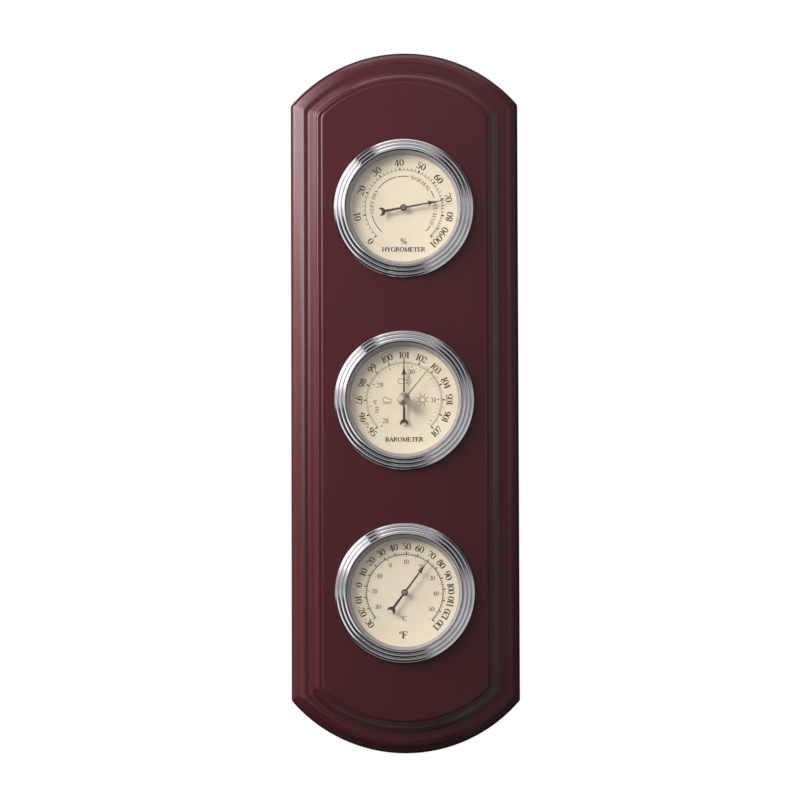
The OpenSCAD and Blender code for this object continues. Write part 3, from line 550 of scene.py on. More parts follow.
def mark_bare_wood(mesh, lo, hi):
    """Gives the back, the bores and the hanger's pocket the second material."""
    mesh.materials.append(BACK)
    rim = 2 * MM
    for face in mesh.polygons:
        at = face.center
        reach = min(math.hypot(at.x - dial.x, at.z - dial.z) for dial in DIALS.values())
        in_bore = reach < (BORE_R + 0.2) * MM and abs(face.normal.y) < 0.5
        in_plate = lo.x - rim < at.x < hi.x + rim and lo.z - rim < at.z < hi.z + rim
        in_pocket = in_plate and at.y > -POCKET_D * MM
        face.material_index = 1 if face.normal.y > 0.5 or in_bore or in_pocket else 0


def make_plaque():
    """The moulded board, with its three bores and the hanger's pocket."""
    profile = moulding_profile()
    rings = [outline(inset) for inset, _ in profile]
    n = len(rings[0])
    points = [
        (x * MM, -height * MM, PLAQUE_Z + y * MM)
        for (_, height), ring in zip(profile, rings)
        for x, y in ring
    ]
    faces = [
        (r * n + k, r * n + (k + 1) % n, (r + 1) * n + (k + 1) % n, (r + 1) * n + k)
        for r in range(len(rings) - 1)
        for k in range(n)
    ]
    faces += [tuple(range(n)), tuple(range((len(rings) - 1) * n, len(rings) * n))]
    plaque = piece("plaque_moulded", points, faces, "lacquered_wood", "station", SHARP, ("plaque",))
    for dial in DIALS.values():
        bore = arc((dial.x / MM, (dial.z - PLAQUE_Z) / MM), BORE_R, 0, 360, 144)[:-1]
        cut(plaque, prism(bore, PLAQUE_T + 1))
    lo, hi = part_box("hanger_plate")
    cut_hanger_pocket(plaque, lo, hi)
    mesh = plaque.data
    mark_bare_wood(mesh, lo, hi)
    mesh.shade_smooth()
    mesh.set_sharp_from_angle(angle=math.radians(SHARP))
    weigh = plaque.modifiers.new("even_normals", "WEIGHTED_NORMAL")
    weigh.keep_sharp, weigh.weight = True, 60
    return plaque


plaque = make_plaque()


# Bezels, bright cones and windows
def rib(inner, top):
    """A rib's section from its inner edge to its outer edge: a round crown whose outer side falls further."""
    rise, fall = math.sin(math.radians(RIB_IN)), math.sin(math.radians(RIB_OUT))
    radius = RIB_W / (rise + fall)
    return arc((inner + radius * rise, top - radius), radius, 90 + RIB_IN, 90 - RIB_OUT, 18)


def make_bezel(dial):
    """One chrome ring: round ribs that step down, a lip over the window and a foot on the plaque."""
    seat = dial.lens_front + LIP_GAP
    top = seat + RIB_W / 2
    outer = LIP_R + RIBS * RIB_W
    section = [(LIP_R + LIP_W, PLAQUE_T + FOOT_H), (LIP_R + LIP_W, seat), (LIP_R, seat)]
    for k in range(RIBS):
        section += rib(LIP_R + k * RIB_W, top - k * RIB_STEP)
        if k < RIBS - 1:
            edge, valley = LIP_R + (k + 1) * RIB_W, top - (k + 1) * RIB_STEP - VALLEY_D
            section += [(edge, valley + VALLEY_RISE), (edge + VALLEY_W, valley)]
    section += [(outer, PLAQUE_T + FOOT_CHAMFER), (outer - FOOT_CHAMFER, PLAQUE_T),
                (outer - FOOT_W, PLAQUE_T), (outer - FOOT_W, PLAQUE_T + FOOT_H)]
    dial.turned(dial.kind + "_bezel_ribs", section, "bezel_chrome", "station", 256, (dial.kind + "_bezel",))


def make_cone(dial):
    """The bright cone: a thin wall that flares from the printed dial up to the window, with a rounded rim."""
    rim_r, low, high = LIP_R - CONE_GAP, dial.top, dial.lens_back
    outside = [(DIAL_SHOW_R, low), (DIAL_R, low), (DIAL_R + 0.1, low + 0.5), (rim_r, high - 0.9)]
    inside = [(rim_r, high - 0.62), (rim_r - 0.12, high - 0.5), (DIAL_SHOW_R + 0.35, low + 0.75),
              (DIAL_SHOW_R + 0.08, low + 0.3)]
    dial.turned(dial.kind + "_cone", outside + inside, "ring_chrome", "station", 256,
                (dial.kind + "_dial_ring",))


for dial in DIALS.values():
    make_bezel(dial)
    make_cone(dial)


# Lettering: each glyph is its advance and its strokes, straight ones and bows, at a height of 1
THICK, THIN = 0.215, 0.085


def line(x0, y0, x1, y1, width=THICK):
    return [(x0, y0, width), (x1, y1, width)]


def bow(cx, cy, rx, ry, start, end, side=THICK):
    """A stroke on an ellipse, thick at its sides and thin at its top and bottom."""
    made = []
    for angle in spread(start, end, max(4, round(abs(end - start) / 15))):
        a = math.radians(angle)
        width = THIN + (side - THIN) * math.cos(a) ** 2
        made.append((cx + rx * math.cos(a), cy + ry * math.sin(a), width))
    return made


def hair(x0, y0, x1, y1):
    return line(x0, y0, x1, y1, THIN)


def bar(x0, x1, y):
    return hair(x0, y, x1, y)


def ring(cx, cy, rx, ry, side=THICK):
    return bow(cx, cy, rx, ry, 0, 360, side)


def foot(x, half=0.15):
    return bar(x - half, x + half, 0.03)


def head(x, half=0.15):
    return bar(x - half, x + half, 0.97)


def stem(x):
    return [line(x, 0, x, 1), foot(x), head(x)]


GLYPHS = {
    "0": (0.72, [ring(0.36, 0.5, 0.25, 0.46)]),
    "1": (0.62, [line(0.33, 0, 0.33, 0.98), line(0.14, 0.84, 0.33, 0.95, 0.07), foot(0.33, 0.19)]),
    "2": (0.7, [
        bow(0.33, 0.71, 0.21, 0.25, 165, -20), line(0.51, 0.6, 0.1, 0.07, 0.08),
        line(0.07, 0.06, 0.6, 0.06, 0.12), hair(0.58, 0.06, 0.64, 0.24)]),
    "3": (0.68, [bow(0.31, 0.76, 0.19, 0.2, 155, -80), bow(0.3, 0.29, 0.25, 0.26, 85, -155)]),
    "4": (0.72, [
        hair(0.47, 0.97, 0.04, 0.3), line(0.03, 0.28, 0.68, 0.28, 0.09),
        line(0.47, 0, 0.47, 0.98)]),
    "5": (0.68, [
        line(0.18, 0.92, 0.58, 0.92, 0.13), hair(0.19, 0.94, 0.15, 0.53),
        bow(0.3, 0.31, 0.25, 0.27, 125, -155)]),
    "6": (0.72, [ring(0.36, 0.31, 0.23, 0.28), bow(0.63, 0.33, 0.5, 0.64, 100, 185)]),
    "7": (0.66, [
        line(0.08, 0.91, 0.62, 0.91, 0.13), line(0.6, 0.9, 0.27, 0, 0.1),
        hair(0.08, 0.93, 0.05, 0.74)]),
    "8": (0.72, [ring(0.36, 0.75, 0.18, 0.21), ring(0.36, 0.28, 0.23, 0.25)]),
    "9": (0.72, [ring(0.36, 0.69, 0.23, 0.28), bow(0.09, 0.67, 0.5, 0.64, -80, 5)]),
    "-": (0.4, [line(0.04, 0.36, 0.32, 0.36, 0.09)]),
    ".": (0.3, [line(0.1, 0.07, 0.22, 0.07, 0.14)]),
    " ": (0.4, []),
    "A": (1.0, [
        hair(0.5, 0.98, 0.15, 0.02), line(0.48, 0.98, 0.86, 0.02), foot(0.15, 0.13),
        foot(0.84, 0.17), bar(0.27, 0.72, 0.34)]),
    "B": (0.88, stem(0.2) + [
        bow(0.42, 0.76, 0.25, 0.21, 90, -90), bow(0.44, 0.28, 0.3, 0.25, 90, -90), bar(0.2, 0.44, 0.53),
        bar(0.2, 0.42, 0.97), bar(0.2, 0.44, 0.03)]),
    "C": (0.92, [bow(0.5, 0.5, 0.38, 0.47, 48, 315), hair(0.78, 0.98, 0.78, 0.74)]),
    "D": (1.0, stem(0.2) + [
        bow(0.42, 0.5, 0.42, 0.47, 90, -90), bar(0.2, 0.42, 0.97), bar(0.2, 0.42, 0.03)]),
    "E": (0.86, stem(0.2) + [
        bar(0.2, 0.74, 0.97), bar(0.2, 0.56, 0.51), bar(0.2, 0.78, 0.03),
        hair(0.73, 0.98, 0.75, 0.76), hair(0.57, 0.62, 0.57, 0.4),
        hair(0.77, 0.02, 0.8, 0.27)]),
    "F": (0.8, stem(0.2) + [
        bar(0.2, 0.74, 0.97), bar(0.2, 0.56, 0.5), hair(0.73, 0.98, 0.75, 0.74),
        hair(0.57, 0.62, 0.57, 0.38)]),
    "G": (1.04, [
        bow(0.5, 0.5, 0.4, 0.47, 48, 300), line(0.8, 0.06, 0.8, 0.42), bar(0.65, 0.95, 0.43),
        hair(0.78, 0.98, 0.78, 0.74)]),
    "H": (1.06, stem(0.2) + stem(0.84) + [bar(0.2, 0.84, 0.5)]),
    "I": (0.44, stem(0.2)),
    "L": (0.82, stem(0.2) + [bar(0.2, 0.72, 0.03), hair(0.71, 0.02, 0.75, 0.3)]),
    "M": (1.26, [
        hair(0.2, 0, 0.2, 0.98), line(0.2, 0.98, 0.6, 0.04), hair(0.62, 0.04, 1.02, 0.98),
        line(1.04, 0, 1.04, 0.98), foot(0.2), foot(1.04), head(0.12, 0.09), head(1.1, 0.09)]),
    "N": (1.04, [
        hair(0.2, 0, 0.2, 0.98), line(0.2, 0.98, 0.84, 0.02), hair(0.84, 0.02, 0.84, 0.98),
        foot(0.2), head(0.84), head(0.12, 0.09)]),
    "O": (1.04, [ring(0.52, 0.5, 0.4, 0.47)]),
    "P": (0.82, stem(0.2) + [
        bow(0.42, 0.73, 0.27, 0.24, 90, -90), bar(0.2, 0.42, 0.97), bar(0.2, 0.42, 0.49)]),
    "R": (0.96, stem(0.2) + [
        bow(0.42, 0.74, 0.27, 0.23, 90, -90), bar(0.2, 0.42, 0.97), bar(0.2, 0.42, 0.51),
        line(0.46, 0.5, 0.86, 0.03, 0.14)]),
    "T": (0.9, [
        line(0.44, 0, 0.44, 0.98), foot(0.44), line(0.06, 0.96, 0.82, 0.96, 0.07),
        hair(0.07, 0.98, 0.05, 0.72), hair(0.81, 0.98, 0.83, 0.72)]),
    "U": (1.0, [
        line(0.2, 0.97, 0.2, 0.32), bow(0.49, 0.33, 0.29, 0.3, 180, 360), head(0.2),
        hair(0.78, 0.33, 0.78, 0.97), head(0.78, 0.13)]),
    "V": (0.98, [
        line(0.14, 0.98, 0.5, 0.03), hair(0.86, 0.98, 0.51, 0.03), head(0.14), head(0.86, 0.12)]),
    "Y": (0.98, [
        line(0.14, 0.98, 0.49, 0.44), hair(0.86, 0.98, 0.49, 0.44), line(0.49, 0.46, 0.49, 0),
        foot(0.49), head(0.14), head(0.85, 0.12)]),
    "a": (0.6, [
        ring(0.24, 0.2, 0.16, 0.18, 0.12), line(0.42, 0, 0.42, 0.5, 0.13),
        bow(0.26, 0.48, 0.16, 0.17, 0, 150, 0.12)]),
    "g": (0.66, [
        ring(0.28, 0.42, 0.19, 0.22, 0.12), line(0.48, 0.66, 0.48, 0, 0.11),
        bow(0.28, 0, 0.2, 0.22, 0, -150, 0.11)]),
    "k": (0.68, [
        line(0.14, 0, 0.14, 1, 0.13), hair(0.5, 0.64, 0.16, 0.3),
        line(0.26, 0.42, 0.58, 0.02, 0.13)]),
    "n": (0.7, [
        line(0.14, 0, 0.14, 0.66, 0.13), bow(0.34, 0.42, 0.2, 0.2, 150, 0, 0.12),
        line(0.54, 0.44, 0.54, 0, 0.13)]),
    "%": (1.0, [
        ring(0.22, 0.72, 0.16, 0.22, 0.12), ring(0.76, 0.26, 0.16, 0.22, 0.12),
        line(0.8, 0.98, 0.2, 0, 0.07)]),
    "°": (0.36, [ring(0.16, 0.82, 0.11, 0.14, 0.09)]),
}


class Pen:
    """Collects thin closed strokes that lie between two heights on a dial, turned clockwise by an angle."""

    def __init__(self, dial, back, front, turn=0.0):
        self.dial, self.back, self.front, self.turn = dial, back, front, turn
        self.points, self.faces = [], []

    def add(self, x, y, height):
        self.points.append(self.dial.point(*turned_by(self.turn, x, y), height))

    def strip(self, left, right, closed=False):
        """A flat bar between two rows of points."""
        first, n = len(self.points), len(left)
        for (ax, ay), (bx, by) in zip(left, right):
            self.add(ax, ay, self.front)
            self.add(bx, by, self.front)
            self.add(bx, by, self.back)
            self.add(ax, ay, self.back)
        for k in range(n if closed else n - 1):
            a, b = first + 4 * k, first + 4 * ((k + 1) % n)
            for i in range(4):
                j = (i + 1) % 4
                self.faces.append((a + i, a + j, b + j, b + i))
        if not closed:
            last = first + 4 * (n - 1)
            self.faces.append((first + 3, first + 2, first + 1, first))
            self.faces.append((last, last + 1, last + 2, last + 3))

    def stroke(self, path):
        """A bar along (x, y, width) points. It closes on itself where its ends meet."""
        closed = math.dist(path[0][:2], path[-1][:2]) < 1e-6
        if closed:
            path = path[:-1]
        n = len(path)
        left, right = [], []
        for k, (x, y, width) in enumerate(path):
            before = path[k - 1] if closed or k else path[k]
            after = path[(k + 1) % n] if closed or k < n - 1 else path[k]
            dx, dy = after[0] - before[0], after[1] - before[1]
            scale = width / 2 / math.hypot(dx, dy)
            left.append((x - dy * scale, y + dx * scale))
            right.append((x + dy * scale, y - dx * scale))
        self.strip(left, right, closed)

    def area(self, shape):
        """A flat plate with one outline."""
        first, n = len(self.points), len(shape)
        for height in (self.back, self.front):
            for x, y in shape:
                self.add(x, y, height)
        self.faces.append(tuple(range(first, first + n)))
        self.faces.append(tuple(range(first + 2 * n - 1, first + n - 1, -1)))
        for k in range(n):
            j = (k + 1) % n
            self.faces.append((first + k, first + j, first + n + j, first + n + k))

    def segment(self, x0, y0, x1, y1, width):
        self.stroke([(x0, y0, width), (x1, y1, width)])

    def ray(self, angle, inner, outer, width):
        """A tick at an angle clockwise from the top."""
        self.segment(*polar(angle, inner), *polar(angle, outer), width)

    def curve(self, radius, start, end, width, centre=(0, 0)):
        """An arc between two angles clockwise from the top."""
        path = []
        for angle in spread(start, end, max(6, round(abs(end - start) / 3))):
            x, y = polar(angle, radius)
            path.append((centre[0] + x, centre[1] + y, width))
        self.stroke(path)

    def dot(self, angle, radius, size):
        self.area(arc(polar(angle, radius), size / 2, 0, 330, 11))

    def glyph(self, character, size, x, y, turn, weight=1.0):
        """Draws a character centred on (x, y) and turned clockwise."""
        advance, strokes = GLYPHS[character]
        for stroke in strokes:
            path = []
            for gx, gy, width in stroke:
                dx, dy = turned_by(turn, (gx - advance / 2) * size, (gy - 0.5) * size)
                path.append((x + dx, y + dy, width * size * weight))
            self.stroke(path)

    def write(self, text, size, x, y, turn=0.0, width=None, weight=1.0, tight=1.0):
        """Writes a line of text centred on (x, y). With a width, the letters spread to fill it."""
        advances = [GLYPHS[ch][0] * size * tight for ch in text]
        spare = (width - sum(advances)) / (len(text) - 1) if width else 0
        along = -(sum(advances) + spare * (len(text) - 1)) / 2
        for ch, advance in zip(text, advances):
            dx, dy = turned_by(turn, along + advance / 2, 0)
            self.glyph(ch, size, x + dx, y + dy, turn, weight)
            along += advance + spare

    def number(self, text, size, angle, radius, tight=1.0):
        """A number set along the scale. Past a quarter turn it is turned over, never upside down."""
        turn = angle if abs(angle) < 90 else angle + 180
        self.write(text, size, *polar(angle, radius), turn, tight=tight)

    def word(self, text, size, start, end, radius):
        """A word bent along the scale, from the middle of its first letter to the middle of its last."""
        advances = [GLYPHS[ch][0] for ch in text]
        steps = [(a + b) / 2 for a, b in zip(advances, advances[1:])] + [0]
        angle, share = start, (end - start) / sum(steps)
        for ch, step in zip(text, steps):
            self.glyph(ch, size, *polar(angle, radius), angle)
            angle += step * share

    def make(self, name, slot, body, replaced=(), material=None):
        piece(name, self.points, self.faces, slot, body, STROKE_SHARP, replaced, material)


# Printing: heights over the dial in mm, and the scales in degrees clockwise from the top. CLOUD_BUMPS holds
# arcs of a cloud of size 1: centre, radius, and angles anticlockwise from the right
STROKE_SHARP = 40
INK_BASE, INK_TOP = 0.004, 0.03
HYGRO_TENS = (-135, -100, -66.7, -36, -5.3, 23, 50.2, 77, 101.1, 121.1, 135.9)
HYGRO_ZONES = ((-137, -103), (-52, -13.6), (-10.6, 9.2), (57.5, 71), (123.9, 136))
HYGRO_WORDS = (("VERY DRY", -97.5, -57.5), ("NORMAL", 16, 53.5), ("HUMID", 83, 118))
KPA_FIRST, KPA_MIDDLE, KPA_LAST, PER_KPA = 95, 101, 107, 22.5
PER_INCH, FIRST_INCH, TENTHS = 76.2, -139, 37
INCH_LABELS = (("28", -9.7, -10.7), ("29", -12.5, 7.7), ("30", 3.95, 14.6), ("31", 15.0, 0))
CLOUD_BUMPS = (((-0.42, 0.02), 0.56, 250, 8), ((0.55, -0.1), 0.4, 160, -90))
SUN_GAP = 0.55
FAHRENHEIT_LOW, FAHRENHEIT_HIGH = -30, 130
FAHRENHEIT_ZERO, PER_FAHRENHEIT = -80, 1.65


def printing(kind, count, top=INK_TOP):
    """Pens for the inks of a dial."""
    dial = DIALS[kind]
    return [Pen(dial, dial.top + INK_BASE, dial.top + top) for _ in range(count)]


def make_print(kind, **pens):
    """Makes a piece of each pen's strokes, in the ink that it is named after."""
    for name, pen in pens.items():
        pen.make(f"{kind}_print_{name}", "dial_face", "station", material=INKS[name])


def print_hygrometer():
    """A scale that crowds towards 100 %, with the zones along an inner ring."""
    line_r, zone_r, word_r, word_h = 19.8, 16.6, 16.4, 1.9
    dark, pale = printing("hygrometer", 2)
    dark.curve(line_r, HYGRO_TENS[0], HYGRO_TENS[-1], 0.2)
    for k, angle in enumerate(HYGRO_TENS):
        dark.ray(angle, line_r - 0.05, line_r + 1.4, 0.72)
        dark.number(str(10 * k), 3.5, angle, 23.6 if abs(angle) < 90 else 24.1, 0.98)
    for angle, following in zip(HYGRO_TENS, HYGRO_TENS[1:]):
        for part in range(1, 5):
            pale.ray(angle + (following - angle) * part / 5, line_r + 0.1, line_r + 1.3, 0.32)
    for start, end in HYGRO_ZONES:
        dark.curve(zone_r, start, end, 0.42)
    for text, start, end in HYGRO_WORDS:
        pale.word(text, word_h, start, end, word_r)
    dark.write("%", 3.2, 0, -17.1, weight=1.15, tight=1.3)
    dark.write("HYGROMETER", 2.3, 0, -21.35, width=22.4, weight=1.2)
    make_print("hygrometer", dark=dark, pale=pale)


def cloud_line(pen, x, y, size, width):
    """The outline of a cloud round (x, y)."""
    path = []
    for (cx, cy), radius, start, end in CLOUD_BUMPS:
        path += [(x + px * size, y + py * size, width) for px, py in arc((cx, cy), radius, start, end, 10)]
    pen.stroke(path + [path[0]])


def sun_line(pen, x, y, radius, width, rays, reach):
    """A sun's ring and the chosen rays."""
    pen.curve(radius, 0, 360, width, (x, y))
    for angle in rays:
        near, far = polar(angle, radius + SUN_GAP), polar(angle, radius + reach)
        pen.segment(x + near[0], y + near[1], x + far[0], y + far[1], width * 0.9)


def rain_lines(pen, x, y, step, lean, fall, width):
    """Six slanted drops in a row from (x, y)."""
    for k in range(6):
        pen.segment(x + step * k, y, x + step * k - lean, y - fall, width)


def print_kilopascals(dark, pale, band):
    """The outer scale, along a pale band with thin edges."""
    band_r, band_w, ends = 19.3, 1.0, (KPA_MIDDLE - KPA_FIRST) * PER_KPA
    band.curve(band_r, -ends, ends, band_w)
    for edge in (band_r - band_w / 2, band_r + band_w / 2):
        pale.curve(edge, -ends, ends, 0.1)
    for value in range(KPA_FIRST, KPA_LAST + 1):
        angle = (value - KPA_MIDDLE) * PER_KPA
        dark.ray(angle, 19.35, 21.0, 0.66)
        dark.number(str(value), 3.4, angle, 23.2, 0.96 if value < 100 else 0.84)
        if value < KPA_LAST:
            pale.ray(angle + PER_KPA / 2, 20.2, 21.0, 0.2)
    pale.number("kPa", 1.9, -122.5, 22.9)


def print_inches(dark, pale, red):
    """The inner scale: a dot for each tenth of an inch, and a tick for each inch."""
    for tenth in range(TENTHS):
        angle = FIRST_INCH + PER_INCH * tenth / 10
        if tenth % 10 == 0:
            dark.ray(angle, 17.1, 18.0, 0.5)
        else:
            dark.dot(angle, 17.5, 0.42 if tenth % 5 else 0.66)
    for text, x, y in INCH_LABELS:
        (red if text == "30" else pale).write(text, 2.5, x, y, tight=0.95)
    pale.number("In. Hg", 1.9, -103, 14.7)


def print_barometer():
    """Kilopascals outside, inches of mercury inside, and the weather: rain, part sun and sun."""
    dark, pale, red = printing("barometer", 3)
    band, = printing("barometer", 1, INK_TOP / 2)
    print_kilopascals(dark, pale, band)
    print_inches(dark, pale, red)
    sun_line(pale, 9.4, 0.1, 1.5, 0.46, [22.5 + 45 * k for k in range(8)], 1.75)
    cloud_line(pale, -8.6, 0.1, 2.35, 0.26)
    rain_lines(pale, -10.4, -1.2, 0.7, 0.35, 1.0, 0.24)
    cloud_line(pale, -0.7, 9.75, 2.5, 0.28)
    sun_line(pale, 1.85, 9.7, 1.0, 0.28, (15, 50, 90, 130, 165), 1.6)
    dark.write("BAROMETER", 2.3, 0, -20.3, width=19.6, weight=1.2)
    make_print("barometer", dark=dark, pale=pale, red=red, band=band)


def thermometer_angle(fahrenheit):
    return FAHRENHEIT_ZERO + PER_FAHRENHEIT * fahrenheit


def print_thermometer():
    """Fahrenheit outside the arc and Celsius inside it."""
    line_r, celsius_r = 19.6, 16.0
    dark, pale, red = printing("thermometer", 3)
    dark.curve(line_r, thermometer_angle(FAHRENHEIT_LOW), thermometer_angle(FAHRENHEIT_HIGH), 0.4)
    for value in range(FAHRENHEIT_LOW, FAHRENHEIT_HIGH + 1, 2):
        angle = thermometer_angle(value)
        if value % 10 == 0:
            dark.ray(angle, 19.5, 21.1, 0.6)
            dark.number(str(value), 3.4, angle, 23.8, 0.92 if value < 100 else 0.8)
        else:
            pale.ray(angle, 19.7, 20.8, 0.27)
    for celsius in range(-35, 56, 5):
        angle = thermometer_angle(celsius * 1.8 + 32)
        if celsius % 10 == 0:
            dark.ray(angle, 18.3, 19.0, 0.3)
            red.write(str(celsius), 2.3, *polar(angle, celsius_r), tight=0.92)
        else:
            pale.ray(angle, 18.2, 19.0, 0.24)
    pale.write("°C", 2.6, -0.4, -13.1, weight=1.15)
    dark.write("°F", 3.7, -0.8, -21.6, weight=1.1)
    make_print("thermometer", dark=dark, pale=pale, red=red)


print_hygrometer()
print_barometer()
print_thermometer()


# Pointers: sizes in mm, then each one's body, its turn in degrees as photographed, its reach and its tail
HUB_R, HUB_SINK, HUB_H, HUB_ROUND = 1.7, 0.25, 0.8, 0.2
CAP_R, CAP_SINK, CAP_GROOVE, CAP_RISE = 1.1, 0.13, 0.12, 0.3
POINTER_T, HEAD_MORE_T = 0.3, 0.03
SHAFT_START, SHAFT_W, NECK_W, TIP_W, TAIL_W = 0.6, 0.95, 0.74, 0.24, 1.4
ARROW_AT, ARROW_L, BARB_W = 13.2, 3.7, 1.35
FORK_R = 2.1
POINTERS = {
    "hygrometer": ("hygro_hand", 79.9, 21.3, 13.6),
    "barometer": ("baro_hand", 0.0, 21.7, 14.2),
    "thermometer": ("thermo_hand", 36.5, 20.9, 13.6),
}


def arrow_head():
    """A leaf with two barbs that sweep back."""
    tip = ARROW_AT + ARROW_L
    right = [(0.22, tip), (0.42, tip - 1.2), (0.72, tip - 2.5), (BARB_W, ARROW_AT - 0.5)]
    return right + [(0, ARROW_AT + 0.15)] + [(-x, y) for x, y in reversed(right)]


def crescent(radius, end):
    """The tail's fork: a round end with a smaller circle cut out of its far side."""
    outer_y, cut_y, cut_r = -end + radius, -end + radius / 4, 0.85 * radius
    gap = outer_y - cut_y
    below = (radius ** 2 - cut_r ** 2 + gap ** 2) / (2 * gap)
    side = math.sqrt(radius ** 2 - below ** 2)
    turn = math.degrees(math.atan2(below, side))
    inner = math.degrees(math.atan2(gap - below, side))
    return (arc((0, outer_y), radius, -turn, 180 + turn, 36)
            + arc((0, cut_y), cut_r, 180 - inner, inner, 26)[1:-1])


def make_hub(dial, body, back):
    """The pointer's round hub, and a low metal cap in its middle."""
    top = back + HUB_H
    groove, base = top - CAP_GROOVE, top - CAP_SINK
    hub = ([(0, back), (HUB_R - 0.1, back), (HUB_R, back + 0.1)]
           + arc((HUB_R - HUB_ROUND, top - HUB_ROUND), HUB_ROUND, 0, 90, 5)
           + [(CAP_R + CAP_GROOVE, top), (CAP_R + 0.02, groove), (0, groove)])
    dial.turned(dial.kind + "_hub", hub, "pointer_black", body, 64)
    cap = [(0, base), (CAP_R, base)]
    cap += [(r, base + (h - base) * CAP_RISE) for r, h in arc((0, base), CAP_R, 0, 90, 8)[1:]]
    dial.turned(dial.kind + "_hub_cap", cap, "pointer_black", body, 64, material=CAP)


def make_pointer(kind):
    """A tapered needle with an arrowhead, a forked tail and a hub."""
    dial = DIALS[kind]
    body, turn, reach, tail = POINTERS[kind]
    cad = kind + "_pointer"
    hub_back = -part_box(cad)[1].y / MM
    back = hub_back + HUB_SINK
    needle = Pen(dial, back, back + POINTER_T, turn)
    needle.stroke([(0, SHAFT_START, SHAFT_W), (0, ARROW_AT, NECK_W), (0, reach, TIP_W)])
    needle.stroke([(0, -SHAFT_START, SHAFT_W), (0, -tail + 1.5 * FORK_R, TAIL_W)])
    ends = Pen(dial, back - HEAD_MORE_T, back + POINTER_T + HEAD_MORE_T, turn)
    ends.area(arrow_head())
    ends.area(crescent(FORK_R, tail))
    needle.make(kind + "_needle", "pointer_black", body, (cad,))
    ends.make(kind + "_needle_ends", "pointer_black", body)
    make_hub(dial, body, hub_back)


for kind in KINDS:
    make_pointer(kind)


# Set knob: sizes in mm
RIDGES, RIDGE_W, RIDGE_H = 10, 0.12, 0.05
KNOB_HEAD_T, KNOB_FALL, KNOB_STEM_R = 2.6, 0.8, 0.8


def make_set_knob():
    """The turned knob in front of the window, with its shaft and the ridges of its spun face."""
    lo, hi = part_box("barometer_set_knob")
    front, back = -lo.y / MM, -hi.y / MM
    radius = (hi.x - lo.x) / 2 / MM
    face_back = front - KNOB_HEAD_T
    section = [(0, front), (0.25, front - 0.03)]
    for k in range(RIDGES):
        out = k / (RIDGES - 1)
        r, h = 0.4 + (radius - 0.8) * out, front - 0.06 - KNOB_FALL * out
        section += [(r, h), (r + RIDGE_W, h - RIDGE_H)]
    section += [(radius - 0.22, front - 1.0), (radius, front - 1.2), (radius, face_back + 0.3),
                (radius - 0.3, face_back), (KNOB_STEM_R, face_back), (KNOB_STEM_R, back), (0, back)]
    DIALS["barometer"].turned("barometer_knob_turned", section, "knob_metal", "baro_set", 128,
                              ("barometer_set_knob",))


make_set_knob()


# Camera, at the photograph's place: angles in degrees, distances in metres and the lens in mm
AZIMUTH, ELEVATION, ROLL = 1.609, -4.349, -0.1809
DISTANCE, LENS, SENSOR = 2.9627, 257.6, 36
AIM = (-0.00241, -0.01, 0.00069)


def make_camera():
    """Looks at the plaque's middle, with a small shift to the aim."""
    centre = Vector((0, 0, PLAQUE_Z))
    azimuth, elevation, roll = (math.radians(a) for a in (AZIMUTH, ELEVATION, ROLL))
    reach = Vector((math.sin(azimuth) * math.cos(elevation), -math.cos(azimuth) * math.cos(elevation),
                    math.sin(elevation)))
    place = centre + reach * DISTANCE
    forward = (centre + Vector(AIM) - place).normalized()
    right = forward.cross(Vector((0, 0, 1))).normalized()
    up = right.cross(forward)
    right, up = (math.cos(roll) * right + math.sin(roll) * up, math.cos(roll) * up - math.sin(roll) * right)
    data = bpy.data.cameras.new("camera")
    data.lens, data.sensor_width = LENS, SENSOR
    data.clip_start, data.clip_end = 0.05, 100
    camera = new_object("camera", data)
    camera.matrix_world = Matrix.Translation(place) @ Matrix((right, up, -forward)).transposed().to_4x4()
    bpy.context.scene.camera = camera


make_camera()


# Lamps, floor and surroundings
def area_lamp(name, place, size, power, colour, target=(0, 0, 0)):
    """A softbox at a place given from the plaque's centre in metres, turned to a target."""
    data = bpy.data.lights.new(name, "AREA")
    data.shape, data.energy, data.color = "RECTANGLE", power, colour
    data.size, data.size_y = size
    lamp = new_object(name, data)
    lamp.location = Vector((0, 0, PLAQUE_Z)) + Vector(place)
    lamp.rotation_mode = "QUATERNION"
    lamp.rotation_quaternion = (Vector(target) - Vector(place)).to_track_quat("-Z", "Y")
    return lamp


def grade(lamp, stops):
    """Grades a softbox from its lower edge to its upper edge."""
    lamp.data.use_nodes = True
    t = Tree(lamp.data.node_tree)
    emission = next(n for n in t.tree.nodes if n.type == "EMISSION")
    upwards = t.split(t.node("ShaderNodeTexCoord").outputs["UV"])["Y"]
    t.link(t.ramp(upwards, stops), emission.inputs["Strength"])


# Levels of the two graded softboxes, from their lower edge to their upper edge
SHEEN_LEVELS = ((0.0, 0.06), (0.048, 0.17), (0.082, 0.4), (0.109, 0.85), (0.129, 1.0), (0.17, 1.05),
                (0.205, 1.4), (0.25, 1.3), (0.33, 1.0), (0.47, 1.0), (0.558, 0.55), (0.694, 0.28),
                (1.0, 0.13))
ZONE_LEVELS = ((0.0, 0.05), (0.083, 0.1), (0.143, 0.3), (0.19, 0.85), (0.226, 1.0), (1.0, 1.0))


